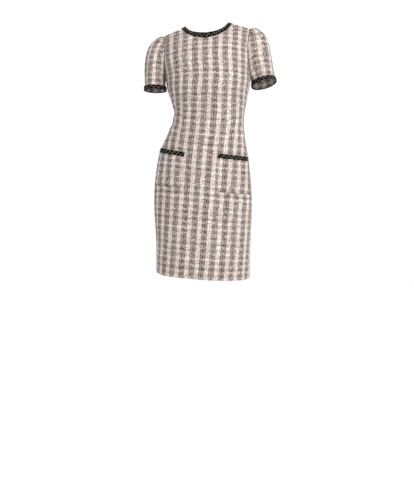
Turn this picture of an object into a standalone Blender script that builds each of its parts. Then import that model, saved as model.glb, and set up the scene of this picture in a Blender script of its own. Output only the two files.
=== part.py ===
"""Short-sleeved sheath dress of checked tweed, standing in its worn shape with nothing inside.

The dress is first worked out upright and even, as it is cut for a general figure:
horizontal sections below the chest line, and a yoke above it that runs up to the
shoulder seams and the neck edge. A stance table then shifts, turns and tilts every
level, because the dress is shown with one hip out. The front, the two backs and the
sleeves are walls of cloth. Pockets and braid are made from the points of the cloth
that they lie on, moved out.

Metres, +Z up, +X to the viewer's right, the front faces -Y. The origin lies midway
between the two neck side points, at the height of the inner ends of the shoulder seams.
"""

import math
from collections import namedtuple
from functools import lru_cache

import bmesh
import bpy
from mathutils import Matrix, Vector

MM = 0.001

# Cloth and seams
CLOTH = 2.0 * MM
SEAM = 0.4 * MM
BRAID = 2.6 * MM

# Lengths down the dress, from the neck side points
HEM_LEVEL = -0.908
UNDERARM_LEVEL = -0.200
CHEST_LEVEL = -0.111
SHOULDER_TIP = Vector((0.157, 0.003, -0.024))
SHOULDER_CROWN = 0.0025

# Neck edge, an oval that is deeper in front
NECK_HALF_WIDTH = 0.0785
NECK_FRONT = Vector((0.0, -0.066, -0.043))
NECK_BACK = Vector((0.0, 0.058, -0.015))
NECK_DIP = 1.3

# Armhole, an oval seen from the side
ARMHOLE_HALF_HEIGHT = CHEST_LEVEL - UNDERARM_LEVEL
ARMHOLE_FRONT = 0.043
ARMHOLE_BACK = 0.047

# The upright form. Half width, depth in front of and behind the side seams, and how
# square each half of the section is (2 is an ellipse)
Form = namedtuple("Form", "level half_width front back square_front square_back")
FORM = (
    Form(-0.920, 0.1706, 0.108, 0.112, 2.15, 2.15),
    Form(-0.860, 0.1711, 0.108, 0.114, 2.15, 2.15),
    Form(-0.800, 0.1721, 0.108, 0.117, 2.15, 2.15),
    Form(-0.740, 0.1750, 0.108, 0.121, 2.15, 2.15),
    Form(-0.680, 0.1785, 0.108, 0.126, 2.10, 2.15),
    Form(-0.620, 0.1788, 0.108, 0.131, 2.10, 2.15),
    Form(-0.560, 0.1741, 0.108, 0.134, 2.10, 2.15),
    Form(-0.500, 0.1663, 0.108, 0.130, 2.10, 2.15),
    Form(-0.450, 0.1560, 0.107, 0.119, 2.10, 2.15),
    Form(-0.400, 0.1403, 0.103, 0.102, 2.15, 2.15),
    Form(-0.360, 0.1310, 0.100, 0.090, 2.20, 2.20),
    Form(-0.330, 0.1279, 0.100, 0.085, 2.20, 2.20),
    Form(-0.300, 0.1321, 0.108, 0.087, 2.25, 2.20),
    Form(-0.270, 0.1392, 0.121, 0.093, 2.30, 2.25),
    Form(-0.240, 0.1471, 0.131, 0.099, 2.35, 2.30),
    Form(-0.210, 0.1525, 0.134, 0.104, 2.35, 2.35),
    Form(-0.180, 0.1550, 0.130, 0.107, 2.35, 2.35),
    Form(-0.145, 0.1578, 0.119, 0.107, 2.35, 2.35),
    Form(-0.111, 0.1600, 0.105, 0.103, 2.30, 2.30),
)

# How the dress stands: each level's shift to the side, its turn about the upright axis
# (degrees, front towards -X), its tilt (drop per metre towards +X), the shift of both
# edges against the centre line, and how far the front sags below the sides
Stance = namedtuple("Stance", "level shift turn tilt bend sag")
STANCE = (
    Stance(-0.920, -0.0155, 6.0, 0.064, 0.000, 0.016),
    Stance(-0.800, -0.0143, 6.5, 0.074, 0.000, 0.010),
    Stance(-0.680, -0.0152, 7.0, 0.087, 0.000, 0.006),
    Stance(-0.560, -0.0137, 7.0, 0.098, 0.000, 0.005),
    Stance(-0.470, -0.0095, 7.0, 0.105, 0.001, 0.008),
    Stance(-0.400, -0.0030, 7.0, 0.090, 0.002, 0.005),
    Stance(-0.360, 0.0000, 7.0, 0.073, 0.004, 0.002),
    Stance(-0.330, 0.0012, 6.5, 0.060, 0.006, 0.000),
    Stance(-0.300, 0.0020, 6.0, 0.047, 0.005, 0.000),
    Stance(-0.270, 0.0030, 5.0, 0.034, 0.003, 0.000),
    Stance(-0.240, 0.0032, 4.0, 0.020, 0.001, 0.000),
    Stance(-0.200, 0.0040, 2.5, 0.000, 0.000, 0.000),
    Stance(-0.155, 0.0000, 1.5, -0.030, 0.000, 0.000),
    Stance(-0.111, -0.0030, 1.0, -0.055, 0.000, 0.000),
    Stance(-0.024, -0.0010, 0.5, -0.090, 0.000, 0.000),
    Stance(0.010, 0.0000, 0.0, -0.100, 0.000, 0.000),
)

# The panels' columns, counted from the centre line: the pocket lies between two of
# them, and the yoke's neck edge ends at another. Distances are measured round the hips
POCKET_INNER_COLUMN = 4
NECK_COLUMN = 7
POCKET_OUTER_COLUMN = 12
SIDE_COLUMN = 13
POCKET_INNER = 0.065
POCKET_OUTER = 0.197
SIDE_MARGIN = 0.011

# Rows of the panels, and how much closer they get from the hem up to the underarm
SKIRT_ROWS = 24
ROW_CLOSING = 0.38
ARMHOLE_ROWS = 5
YOKE_ROWS = 6
BRAID_ROW = SKIRT_ROWS + ARMHOLE_ROWS + YOKE_ROWS - 1
TOP_ROW = BRAID_ROW + 1
NECK_BRAID_WIDTH = 14.0 * MM
NECK_PARTING = 3.0 * MM

# Pockets and their braid
Pocket = namedtuple("Pocket", "side side_rise top bottom")
POCKETS = (
    Pocket(-1, 0.008, -0.4680, -0.5970),
    Pocket(1, -0.002, -0.4620, -0.6020),
)
POCKET_CLOTH = 1.6 * MM
POCKET_ROWS = 7
POCKET_BRAID_WIDTH = 15.5 * MM

# Sleeves: the hem ring's centre, its half width and half depth, how far the arm swings
# out and back (degrees), and how strongly the head stands out at the crown
Sleeve = namedtuple("Sleeve", "side centre half_width half_depth out back lift")
SLEEVES = (
    Sleeve(-1, Vector((-0.1885, 0.004, -0.2330)), 0.0385, 0.0575, 1.0, 0.0, 14.0),
    Sleeve(1, Vector((0.2080, 0.002, -0.2100)), 0.0440, 0.0540, 14.0, -10.0, 27.0),
)
SLEEVE_ROWS = 8
CUFF_BRAID_WIDTH = 15.0 * MM

# The zip: its tape inside the centre-back seam, and its slider and pull outside
ZIP_END_LEVEL = -0.530
ZIP_TAPE_COLUMN = 0.7
ZIP_TAPE = 0.8 * MM
SLIDER_BELOW_NECK = 19.0 * MM
SLIDER_SIZE = Vector((5.2, 9.0, 1.6)) * MM
LUG_WIDTH = 1.0 * MM
BAR_RADIUS = 0.6 * MM
EYE_RADIUS = 1.7 * MM
EYE_CLEARANCE = 0.35 * MM
PULL_LENGTH = 22.0 * MM
PULL_WIDTH = 4.6 * MM
PULL_THICKNESS = 1.2 * MM
PULL_EYE_WIDTH = 2.4 * MM
PULL_LEAN = 2.0
METAL_ROUND = 16

# The head's two tucks, measured along the armhole from the shoulder seam
TUCK_DISTANCE = 0.026
TUCK_LENGTH = 0.048
TUCK_RISE = 5.0 * MM
TUCK_EDGE = 4.0 * MM


def remove_scene_objects():
    """Empties the scene."""
    for old in list(bpy.data.objects):
        bpy.data.objects.remove(old, do_unlink=True)


def smooth_row(table, level):
    """Reads a table at a level, with a smooth curve through its rows."""
    first, last = table[0], table[-1]
    level = min(max(level, first.level), last.level)
    index = max(i for i, row in enumerate(table[:-1]) if row.level <= level)
    low, high = table[index], table[index + 1]
    before = table[max(index - 1, 0)]
    after = table[min(index + 2, len(table) - 1)]
    span = high.level - low.level
    t = (level - low.level) / span
    values = [level]
    for b, p, q, a in zip(before[1:], low[1:], high[1:], after[1:]):
        slope_p = (q - b) / (high.level - before.level)
        slope_q = (a - p) / (after.level - low.level)
        values.append(hermite(p, slope_p * span, q, slope_q * span, t))
    return type(first)(*values)


def hermite(p, slope_p, q, slope_q, t):
    """A cubic from p to q with the given slopes."""
    return (
        p * (1 + 2 * t) * (1 - t) ** 2
        + slope_p * t * (1 - t) ** 2
        + q * t * t * (3 - 2 * t)
        + slope_q * t * t * (t - 1)
    )


# ---------------------------------------------------------------- the upright form

QUARTER_STEPS = 120


@lru_cache(maxsize=None)
def quarter(level, facing):
    """A quarter of the section from the centre line to the side seam: x, depth, length."""
    row = smooth_row(FORM, level)
    depth = row.front if facing < 0 else row.back
    power = 2 / (row.square_front if facing < 0 else row.square_back)
    points = []
    length = 0.0
    for step in range(QUARTER_STEPS + 1):
        angle = math.pi / 2 * step / QUARTER_STEPS
        x = row.half_width * max(math.sin(angle), 0.0) ** power
        y = depth * max(math.cos(angle), 0.0) ** power
        if points:
            length += math.hypot(x - points[-1][0], y - points[-1][1])
        points.append((x, y, length))
    return points


def quarter_point(level, facing, distance):
    """The point of the section at a distance round from the centre line."""
    points = quarter(level, facing)
    distance = min(distance, points[-1][2])
    low, high = 0, len(points) - 1
    while high - low > 1:
        middle = (low + high) // 2
        if points[middle][2] <= distance:
            low = middle
        else:
            high = middle
    p, q = points[low], points[high]
    t = (distance - p[2]) / (q[2] - p[2])
    return p[0] + (q[0] - p[0]) * t, p[1] + (q[1] - p[1]) * t


def armhole_depth(level, facing):
    """How far the armhole's oval stands before or behind the shoulder at a level."""
    reach = ARMHOLE_FRONT if facing < 0 else ARMHOLE_BACK
    t = (level - CHEST_LEVEL) / ARMHOLE_HALF_HEIGHT
    return reach * math.sqrt(max(0.0, 1 - t * t))


def panel_reach(level, facing):
    """The distance from the centre line to the side seam, or to the armhole above it."""
    points = quarter(level, facing)
    if level <= UNDERARM_LEVEL:
        return points[-1][2]
    depth = armhole_depth(level, facing)
    for p, q in zip(points, points[1:]):
        if q[1] <= depth:
            t = (p[1] - depth) / (p[1] - q[1])
            return p[2] + (q[2] - p[2]) * t
    return points[-1][2]


def column_distance(level, facing, column):
    """Where a column lies: the same distance at every level that is wide enough."""
    reach = panel_reach(level, facing)
    narrowing = min(1.0, (reach - SIDE_MARGIN) / POCKET_OUTER)
    stops = (
        (0, 0.0),
        (POCKET_INNER_COLUMN, POCKET_INNER * narrowing),
        (POCKET_OUTER_COLUMN, POCKET_OUTER * narrowing),
        (SIDE_COLUMN, reach),
    )
    for (c0, d0), (c1, d1) in zip(stops, stops[1:]):
        if column <= c1:
            return d0 + (d1 - d0) * (column - c0) / (c1 - c0)
    return reach


def neck_edge(facing, column):
    """The neck edge from the centre line to the neck side point."""
    angle = math.pi / 2 * column / NECK_COLUMN
    centre = NECK_FRONT if facing < 0 else NECK_BACK
    forward = max(math.cos(angle), 0.0)
    x = NECK_HALF_WIDTH * math.sin(angle)
    return Vector((x, centre.y * forward, centre.z * forward**NECK_DIP))


def top_edge(facing, column):
    """The panel's top: the neck edge, then the shoulder seam out to its tip."""
    if column <= NECK_COLUMN:
        return neck_edge(facing, column)
    inner = Vector((NECK_HALF_WIDTH, 0.0, 0.0))
    braid_share = NECK_BRAID_WIDTH / (SHOULDER_TIP - inner).length
    if column <= NECK_COLUMN + 1:
        t = braid_share * (column - NECK_COLUMN)
    else:
        t = (column - NECK_COLUMN - 1) / (SIDE_COLUMN - NECK_COLUMN - 1)
        t = braid_share + (1 - braid_share) * t
    crown = Vector((0.0, 0.0, SHOULDER_CROWN * math.sin(math.pi * t)))
    return inner.lerp(SHOULDER_TIP, t) + crown


# Soft folds of the cloth: which half, where the trough runs (in columns at its lower and
# upper end), the levels it lies between, its half width in columns and its depth
Fold = namedtuple("Fold", "facing low_column high_column low high half_width depth")
FOLDS = (
    Fold(-1, -1.0, -0.5, -0.930, -0.640, 3.2, 0.0045),
    Fold(-1, -11.6, -11.2, -0.930, -0.615, 1.7, 0.0040),
    Fold(-1, 11.3, 11.8, -0.930, -0.625, 1.5, 0.0030),
    Fold(-1, 8.4, 7.8, -0.930, -0.700, 1.9, 0.0020),
    Fold(1, 0.0, 0.0, -0.930, -0.660, 3.4, 0.0060),
    Fold(1, -9.4, -9.0, -0.930, -0.640, 2.0, 0.0035),
    Fold(1, 9.8, 9.2, -0.930, -0.690, 2.0, 0.0025),
)
# Drag creases across the waist: where each is deepest, the slope of its trough (rise per
# column), how far it reaches in columns, its half width in height and its depth
Drag = namedtuple("Drag", "facing column level slope reach half_width depth")
DRAGS = (
    Drag(-1, -12.0, -0.318, -0.0035, 4.2, 0.016, 0.0028),
    Drag(-1, -12.4, -0.362, -0.0020, 3.4, 0.015, 0.0024),
    Drag(-1, 12.2, -0.336, 0.0025, 3.2, 0.016, 0.0018),
    Drag(1, -3.0, -0.322, 0.0015, 6.0, 0.018, 0.0045),
    Drag(1, 3.6, -0.368, -0.0012, 5.0, 0.017, 0.0035),
    Drag(1, -11.5, -0.350, 0.0030, 3.6, 0.015, 0.0026),
)

# Angle of the cloth above level where it reaches the top edge, how far the columns fan
# in towards the neck at its side point, and how full the curve is
LEAN_CENTRE_FRONT = 62.0
LEAN_CENTRE_BACK = 68.0
FAN = 45.0
FAN_COLUMNS = 2.5
YOKE_FULLNESS = 1.40


def yoke_point(facing, column, rise):
    """The yoke between the chest line (rise 0) and the top edge (rise 1)."""
    distance = column_distance(CHEST_LEVEL, facing, column)
    x, depth = quarter_point(CHEST_LEVEL, facing, distance)
    start = Vector((x, facing * depth, CHEST_LEVEL))
    step = 0.004
    below = quarter_point(
        CHEST_LEVEL - step, facing, column_distance(CHEST_LEVEL - step, facing, column)
    )
    slope = Vector((x - below[0], facing * (depth - below[1]), step)) / step
    end = top_edge(facing, column)
    height = end.z - start.z
    run = abs(end.y - start.y)
    shoulder_slope = -SHOULDER_TIP.z / (SHOULDER_TIP.x - NECK_HALF_WIDTH)
    if column <= NECK_COLUMN:
        share = column / NECK_COLUMN
        fan = math.radians(FAN) * share**1.5
        centre_lean = LEAN_CENTRE_FRONT if facing < 0 else LEAN_CENTRE_BACK
        side_lean = math.atan(shoulder_slope * math.sin(math.radians(FAN)))
        lean = math.radians(centre_lean) * (1 - share**1.6) + side_lean * share**1.6
    else:
        fan = math.radians(FAN) * max(0.0, 1 - (column - NECK_COLUMN) / FAN_COLUMNS)
        lean = math.atan(shoulder_slope * math.sin(fan))
    size = math.hypot(height * math.sin(lean), run * math.cos(lean)) * YOKE_FULLNESS
    aim = Vector((-math.sin(fan), -facing * math.cos(fan), 0.0)) * math.cos(lean)
    aim.z = math.sin(lean)
    finish = aim * size
    return hermite(start, slope * height * YOKE_FULLNESS, end, finish, rise)


def row_level(row):
    """The level of a row below the chest line."""
    if row <= SKIRT_ROWS:
        share = row / SKIRT_ROWS
        share = (1 + ROW_CLOSING) * share - ROW_CLOSING * share * share
        return HEM_LEVEL + (UNDERARM_LEVEL - HEM_LEVEL) * share
    angle = math.pi / 2 * (row - SKIRT_ROWS) / ARMHOLE_ROWS
    return CHEST_LEVEL - ARMHOLE_HALF_HEIGHT * math.cos(angle)


def row_at(level):
    """The row, in parts of one, at a level below the underarm."""
    share = (level - HEM_LEVEL) / (UNDERARM_LEVEL - HEM_LEVEL)
    root = math.sqrt((1 + ROW_CLOSING) ** 2 - 4 * ROW_CLOSING * share)
    return SKIRT_ROWS * (1 + ROW_CLOSING - root) / (2 * ROW_CLOSING)


@lru_cache(maxsize=None)
def yoke_length(facing, column):
    """The length of the yoke along a column, from the chest line to the top edge."""
    points = [yoke_point(facing, column, step / 24) for step in range(25)]
    return sum((q - p).length for p, q in zip(points, points[1:]))


def yoke_rise(facing, column, row):
    """Rows of the yoke are even, and the last one is as wide as the neck braid."""
    slant = math.radians(FAN) * min(column / NECK_COLUMN, 1.0) ** 6
    slant *= max(0.0, 1 - max(column - NECK_COLUMN, 0.0))
    width = NECK_BRAID_WIDTH / math.cos(slant)
    edge = 1 - width / yoke_length(facing, round(column, 3))
    base = SKIRT_ROWS + ARMHOLE_ROWS
    if row <= BRAID_ROW:
        return edge * (row - base) / (BRAID_ROW - base)
    return edge + (1 - edge) * (row - BRAID_ROW)


def soft(distance):
    """A rounded bump, 1 at no distance and 0 from a distance of 1."""
    inside = max(0.0, 1 - distance * distance)
    return inside * inside


def fold_depth(facing, column, level):
    """How far the folds draw the cloth in at a point."""
    depth = 0.0
    for fold in FOLDS:
        if fold.facing != facing or not fold.low < level < fold.high:
            continue
        share = (level - fold.low) / (fold.high - fold.low)
        trough = fold.low_column + (fold.high_column - fold.low_column) * share
        fade = math.cos(math.pi / 2 * share) ** 1.5
        depth += fold.depth * fade * soft((column - trough) / fold.half_width)
    for drag in DRAGS:
        if drag.facing != facing:
            continue
        trough = drag.level + drag.slope * (column - drag.column)
        across = soft((column - drag.column) / drag.reach)
        depth += drag.depth * across * soft((level - trough) / drag.half_width)
    return depth


def upright(facing, column, row):
    """A point of the upright dress. Columns left of the centre line are negative."""
    side = -1.0 if column < 0 else 1.0
    signed = column
    column = abs(column)
    if row <= SKIRT_ROWS + ARMHOLE_ROWS:
        level = row_level(row)
        x, depth = quarter_point(level, facing, column_distance(level, facing, column))
        drawn = fold_depth(facing, signed, level) * min(1.0, (SIDE_COLUMN - column) / 1.5)
        inward = Vector((-side * x, -facing * depth, 0.0)).normalized()
        return Vector((side * x, facing * depth, level)) + inward * drawn
    point = yoke_point(facing, column, yoke_rise(facing, column, row))
    return Vector((side * point.x, point.y, point.z))


# ---------------------------------------------------------------- the stance


def stand(point):
    """Moves a point of the upright dress to where it is as the dress stands."""
    stance = smooth_row(STANCE, point.z)
    form = smooth_row(FORM, point.z)
    out = min(abs(point.x) / form.half_width, 1.0)
    x = point.x + stance.bend * out * out
    turn = math.radians(stance.turn)
    turned_x = x * math.cos(turn) + point.y * math.sin(turn)
    turned_y = point.y * math.cos(turn) - x * math.sin(turn)
    forward = max(0.0, -point.y / form.front)
    z = point.z - stance.tilt * turned_x - stance.sag * forward
    return Vector((turned_x + stance.shift, turned_y, z))


def on_dress(facing, column, row):
    """A point of the outer side of the cloth."""
    return stand(upright(facing, column, row))


def outward(facing, column, row):
    """The cloth's outward direction at a point, shared by both panels at a shoulder seam."""
    normal = panel_outward(facing, column, row)
    if row == TOP_ROW and abs(column) >= NECK_COLUMN:
        normal = (normal + panel_outward(-facing, column, row)).normalized()
    return normal


def panel_outward(facing, column, row):
    """The outward direction of one panel at a point."""
    step = 0.02
    left = max(column - step, -SIDE_COLUMN)
    right = min(column + step, SIDE_COLUMN)
    low = max(row - step, 0)
    high = min(row + step, TOP_ROW)
    if left < 0 < right:
        across = on_dress(facing, right, row) - on_dress(facing, left, row)
    elif column >= 0:
        across = on_dress(facing, right, row) - on_dress(facing, max(left, 0), row)
    else:
        across = on_dress(facing, min(right, -1e-6), row) - on_dress(facing, left, row)
    up = on_dress(facing, column, high) - on_dress(facing, column, low)
    normal = across.cross(up).normalized()
    return normal if facing < 0 else -normal


# ---------------------------------------------------------------- walls


def link(name, mesh, material):
    """Adds a mesh to the dress as an object with its material."""
    mesh.materials.append(material)
    part = bpy.data.objects.new(name, mesh)
    bpy.data.collections[COLLECTION].objects.link(part)
    for polygon in mesh.polygons:
        polygon.use_smooth = True
    mesh.set_sharp_from_angle(angle=math.radians(50))
    return part


def wall(name, outer, inner, material, closed=False, mirrored=()):
    """A wall of cloth between two grids of points, row by row, open or closed round.

    Each square is split from its first corner, or from its next one where mirrored
    says so, so that pieces that lie on one another have the same flats.
    """
    rows, columns = len(outer), len(outer[0])
    mesh_maker = bmesh.new()
    skins = []
    for grid in (outer, inner):
        skins.append([[mesh_maker.verts.new(point) for point in row] for row in grid])
    out, back = skins
    last = columns if closed else columns - 1
    for r in range(rows - 1):
        for c in range(last):
            n = (c + 1) % columns
            if mirrored and mirrored[c]:
                mesh_maker.faces.new((out[r][n], out[r + 1][n], out[r + 1][c], out[r][c]))
                mesh_maker.faces.new((back[r][n], back[r][c], back[r + 1][c], back[r + 1][n]))
            else:
                mesh_maker.faces.new((out[r][c], out[r][n], out[r + 1][n], out[r + 1][c]))
                mesh_maker.faces.new((back[r][c], back[r + 1][c], back[r + 1][n], back[r][n]))
    for c in range(last):
        n = (c + 1) % columns
        mesh_maker.faces.new((out[0][n], out[0][c], back[0][c], back[0][n]))
        mesh_maker.faces.new((out[-1][c], out[-1][n], back[-1][n], back[-1][c]))
    if not closed:
        for r in range(rows - 1):
            mesh_maker.faces.new((out[r][0], out[r + 1][0], back[r + 1][0], back[r][0]))
            mesh_maker.faces.new((out[r + 1][-1], out[r][-1], back[r][-1], back[r + 1][-1]))
    bmesh.ops.remove_doubles(mesh_maker, verts=mesh_maker.verts, dist=0.01 * MM)
    bmesh.ops.recalc_face_normals(mesh_maker, faces=mesh_maker.faces)
    mesh = bpy.data.meshes.new(name)
    mesh_maker.to_mesh(mesh)
    mesh_maker.free()
    return link(name, mesh, material)


def moved(points, directions, distance):
    """A grid of points moved along a grid of directions."""
    return [
        [p + d * distance for p, d in zip(row, aims)]
        for row, aims in zip(points, directions)
    ]


def panel_grid(facing, first, last, rows=range(TOP_ROW + 1)):
    """The cloth's outer points and outward directions between two columns."""
    points = []
    directions = []
    for row in rows:
        points.append([on_dress(facing, c, row) for c in range(first, last + 1)])
        directions.append([outward(facing, c, row) for c in range(first, last + 1)])
    return points, directions


def trimmed(points, top=True):
    """Draws a panel's edges in by half the seam gap, within the cloth."""
    half = SEAM / 2
    grid = [list(row) for row in points]
    for old, new in zip(points, grid):
        new[0] = old[0] + (old[1] - old[0]).normalized() * half
        new[-1] = old[-1] + (old[-2] - old[-1]).normalized() * half
    if top:
        for c in range(len(points[0])):
            grid[-1][c] = grid[-1][c] + (grid[-2][c] - grid[-1][c]).normalized() * half
    return grid


def panel(name, facing, first, last, material):
    """A panel of the body."""
    points, directions = panel_grid(facing, first, last)
    outer = trimmed(points)
    mirrored = [column < 0 for column in range(first, last)]
    return wall(name, outer, moved(outer, directions, -CLOTH), material, mirrored=mirrored)


# ---------------------------------------------------------------- sleeves


def armhole_ring(side):
    """The armhole from the underarm up the front, over the shoulder and down the back.

    Gives the edge's points, the way each one faces out of the cloth, and the way on
    past the edge. The yoke's stretches are halved for the tucks.
    """
    column = side * SIDE_COLUMN
    ring = []
    for facing in (-1, 1):
        rows = list(range(SKIRT_ROWS, TOP_ROW + 1))
        stretch = []
        for row in rows:
            point = on_dress(facing, column, row)
            inner = on_dress(facing, side * (SIDE_COLUMN - 0.25), row)
            normal = outward(facing, column, row)
            past = (point - inner).normalized()
            if row == SKIRT_ROWS:
                past = Vector((0.0, 0.0, 1.0))
                normal = Vector((float(side), 0.0, 0.0))
            stretch.append((point, normal, past))
        fine = []
        for row, (here, after) in zip(rows, zip(stretch, stretch[1:])):
            fine.append(here)
            if row >= SKIRT_ROWS + ARMHOLE_ROWS:
                fine.append(tuple(((a + b) / 2) for a, b in zip(here, after)))
        fine.append(stretch[-1])
        ring.append(fine)
    front, back = ring
    joined = front + back[-2:0:-1]
    top = len(front) - 1
    shoulder = tuple((a + b) / 2 for a, b in zip(front[-1], back[-1]))
    joined[top] = shoulder
    return joined, top


def ring_lengths(points, top):
    """Each point's distance along a closed ring from the top one, by the short way."""
    count = len(points)
    lengths = [0.0] * count
    for direction in (-1, 1):
        travelled = 0.0
        for step in range(1, count // 2 + 1):
            here = (top + direction * step) % count
            travelled += (points[here] - points[(here - direction) % count]).length
            lengths[here] = travelled
    return lengths


def tuck_height(distance, along):
    """The raised band between the two tucks, fading towards the sleeve's hem."""
    fade = max(0.0, 1 - along / TUCK_LENGTH)
    fade = fade * fade * (3 - 2 * fade)
    edge = (TUCK_DISTANCE - distance) / TUCK_EDGE
    if edge >= 1:
        height = 1.0
    elif edge <= -1:
        height = -0.25 * max(0.0, 1 - (abs(edge) - 1) / 3)
    else:
        height = 0.375 + 0.625 * edge
    start = min(1.0, 0.15 + along / 0.012)
    return TUCK_RISE * height * fade * start


def hem_ring(sleeve, count, top, turns):
    """The sleeve's hem: an oval square to the arm, its points matched to the armhole's."""
    out = math.radians(sleeve.out) * sleeve.side
    back = math.radians(sleeve.back)
    down = Vector((math.sin(out), math.sin(back), -math.cos(out))).normalized()
    across = Vector((math.cos(out), 0.0, math.sin(out)))
    forward = across.cross(down).normalized()
    if forward.y > 0:
        forward = -forward
    ring = []
    for index in range(count):
        angle = turns[index]
        outer = across * sleeve.side * math.cos(angle) * sleeve.half_width
        ring.append(sleeve.centre + outer + forward * math.sin(angle) * sleeve.half_depth)
    return ring, down


def sleeve_grid(sleeve):
    """The sleeve's outer points, row by row from the armhole to the hem."""
    ring, top = armhole_ring(sleeve.side)
    points = [item[0] for item in ring]
    count = len(points)
    lengths = ring_lengths(points, top)
    longest = max(lengths)
    turns = []
    for index in range(count):
        share = lengths[index] / longest
        turns.append(math.pi * share * (1 if index <= top else -1))
    hem, down = hem_ring(sleeve, count, top, turns)
    grid = [[None] * count for _ in range(SLEEVE_ROWS + 1)]
    for index, (point, normal, past) in enumerate(ring):
        share = lengths[index] / longest
        fold = math.radians(sleeve.lift + (150 - sleeve.lift) * share**1.1)
        half = fold / 2
        start = point + (past * math.cos(half) + normal * math.sin(half)) * SEAM
        away = past * math.cos(fold) + normal * math.sin(fold)
        reach = (hem[index] - start).length
        pull = reach * (1.25 - 0.45 * share)
        finish = down * reach * (1.15 - 0.15 * share)
        column = []
        steps = 40
        track = [
            hermite(start, away * pull, hem[index], finish, s / steps)
            for s in range(steps + 1)
        ]
        travelled = [0.0]
        for p, q in zip(track, track[1:]):
            travelled.append(travelled[-1] + (q - p).length)
        braid_start = travelled[-1] - min(CUFF_BRAID_WIDTH, travelled[-1] * 0.45)
        for row in range(SLEEVE_ROWS + 1):
            if row == SLEEVE_ROWS:
                goal = travelled[-1]
            else:
                goal = braid_start * row / (SLEEVE_ROWS - 1)
            spot = next(i for i in range(1, steps + 1) if travelled[i] >= goal - 1e-9)
            t = (goal - travelled[spot - 1]) / (travelled[spot] - travelled[spot - 1])
            column.append((track[spot - 1].lerp(track[spot], t), goal))
        for row, (place, along) in enumerate(column):
            grid[row][index] = (place, along, lengths[index])
    return grid


def ring_normals(points):
    """Outward directions of a closed tube of points, by its neighbours."""
    rows, count = len(points), len(points[0])
    normals = []
    for r in range(rows):
        line = []
        for c in range(count):
            round_way = points[r][(c + 1) % count] - points[r][c - 1]
            low, high = max(r - 1, 0), min(r + 1, rows - 1)
            down_way = points[high][c] - points[low][c]
            line.append(round_way.cross(down_way).normalized())
        normals.append(line)
    centre = sum(points[-1], Vector()) / count
    if (points[-1][0] - centre).dot(normals[-1][0]) < 0:
        normals = [[-n for n in line] for line in normals]
    return normals


def sleeve_surface(sleeve):
    """The sleeve's outer points with the raised tucks, and their outward directions."""
    grid = sleeve_grid(sleeve)
    plain = [[place for place, _, _ in row] for row in grid]
    normals = ring_normals(plain)
    raised = []
    for r, row in enumerate(grid):
        line = []
        for c, (place, along, distance) in enumerate(row):
            rise = tuck_height(distance, along) if r else 0.0
            line.append(place + normals[r][c] * rise)
        raised.append(line)
    return raised, ring_normals(raised)


def make_sleeve(sleeve, cloth, braid):
    """A sleeve and the braid round its hem."""
    name = "left" if sleeve.side < 0 else "right"
    outer, normals = sleeve_surface(sleeve)
    wall("sleeve_" + name, outer, moved(outer, normals, -CLOTH), cloth, closed=True)
    band = outer[-2:]
    aims = normals[-2:]
    inside = moved(band, aims, SEAM)
    outside = moved(band, aims, SEAM + BRAID)
    wall("cuff_trim_" + name, outside, inside, braid, closed=True)


# ---------------------------------------------------------------- braid and pockets


def neck_spoke(facing, column):
    """The braid's two edges at a column of a panel, each with its outward direction."""
    edges = []
    for row in (BRAID_ROW, TOP_ROW):
        edges.append((on_dress(facing, column, row), outward(facing, column, row)))
    return edges


def shoulder_spoke(side):
    """The braid's two edges where it crosses a shoulder seam."""
    edges = []
    for column in (NECK_COLUMN + 1, NECK_COLUMN):
        place = on_dress(-1, side * column, TOP_ROW)
        edges.append((place, outward(-1, side * column, TOP_ROW)))
    return edges


def make_neck_trim(braid):
    """The braid round the neck edge, parted at the centre back for the zip."""
    spokes = [neck_spoke(1, column) for column in range(0, NECK_COLUMN + 1)]
    spokes.append(shoulder_spoke(1))
    spokes += [neck_spoke(-1, column) for column in range(NECK_COLUMN, -NECK_COLUMN - 1, -1)]
    spokes.append(shoulder_spoke(-1))
    spokes += [neck_spoke(1, column) for column in range(-NECK_COLUMN, 0)]
    spokes.append(neck_spoke(1, -1e-6))
    points = [[spoke[edge][0] for spoke in spokes] for edge in (0, 1)]
    aims = [[spoke[edge][1] for spoke in spokes] for edge in (0, 1)]
    for line in points:
        line[0] = line[0] + (line[1] - line[0]).normalized() * NECK_PARTING / 2
        line[-1] = line[-1] + (line[-2] - line[-1]).normalized() * NECK_PARTING / 2
    quarter_turn = NECK_COLUMN + 1
    mirrored = [False] * quarter_turn + [True] * quarter_turn
    mirrored += [False] * quarter_turn + [True] * quarter_turn
    lift = SEAM + 0.2 * MM
    inside = moved(points, aims, lift)
    outside = moved(points, aims, lift + BRAID)
    wall("neck_trim", outside, inside, braid, mirrored=mirrored)


def pocket_grid(pocket, top, bottom, rows):
    """The front's points and directions under a pocket, on the front's own columns."""
    first, last = sorted((pocket.side * POCKET_INNER_COLUMN, pocket.side * POCKET_OUTER_COLUMN))
    points = []
    directions = []
    for r in range(rows + 1):
        level = bottom + (top - bottom) * r / rows
        places = []
        aims = []
        for column in range(first, last + 1):
            share = (abs(column) - POCKET_INNER_COLUMN) / (
                POCKET_OUTER_COLUMN - POCKET_INNER_COLUMN
            )
            raised = level + pocket.side_rise * share * (level - pocket.bottom) / (
                pocket.top - pocket.bottom
            )
            row = row_at(raised)
            places.append(on_dress(-1, column, row))
            aims.append(outward(-1, column, row))
        points.append(places)
        directions.append(aims)
    return points, directions


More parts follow.
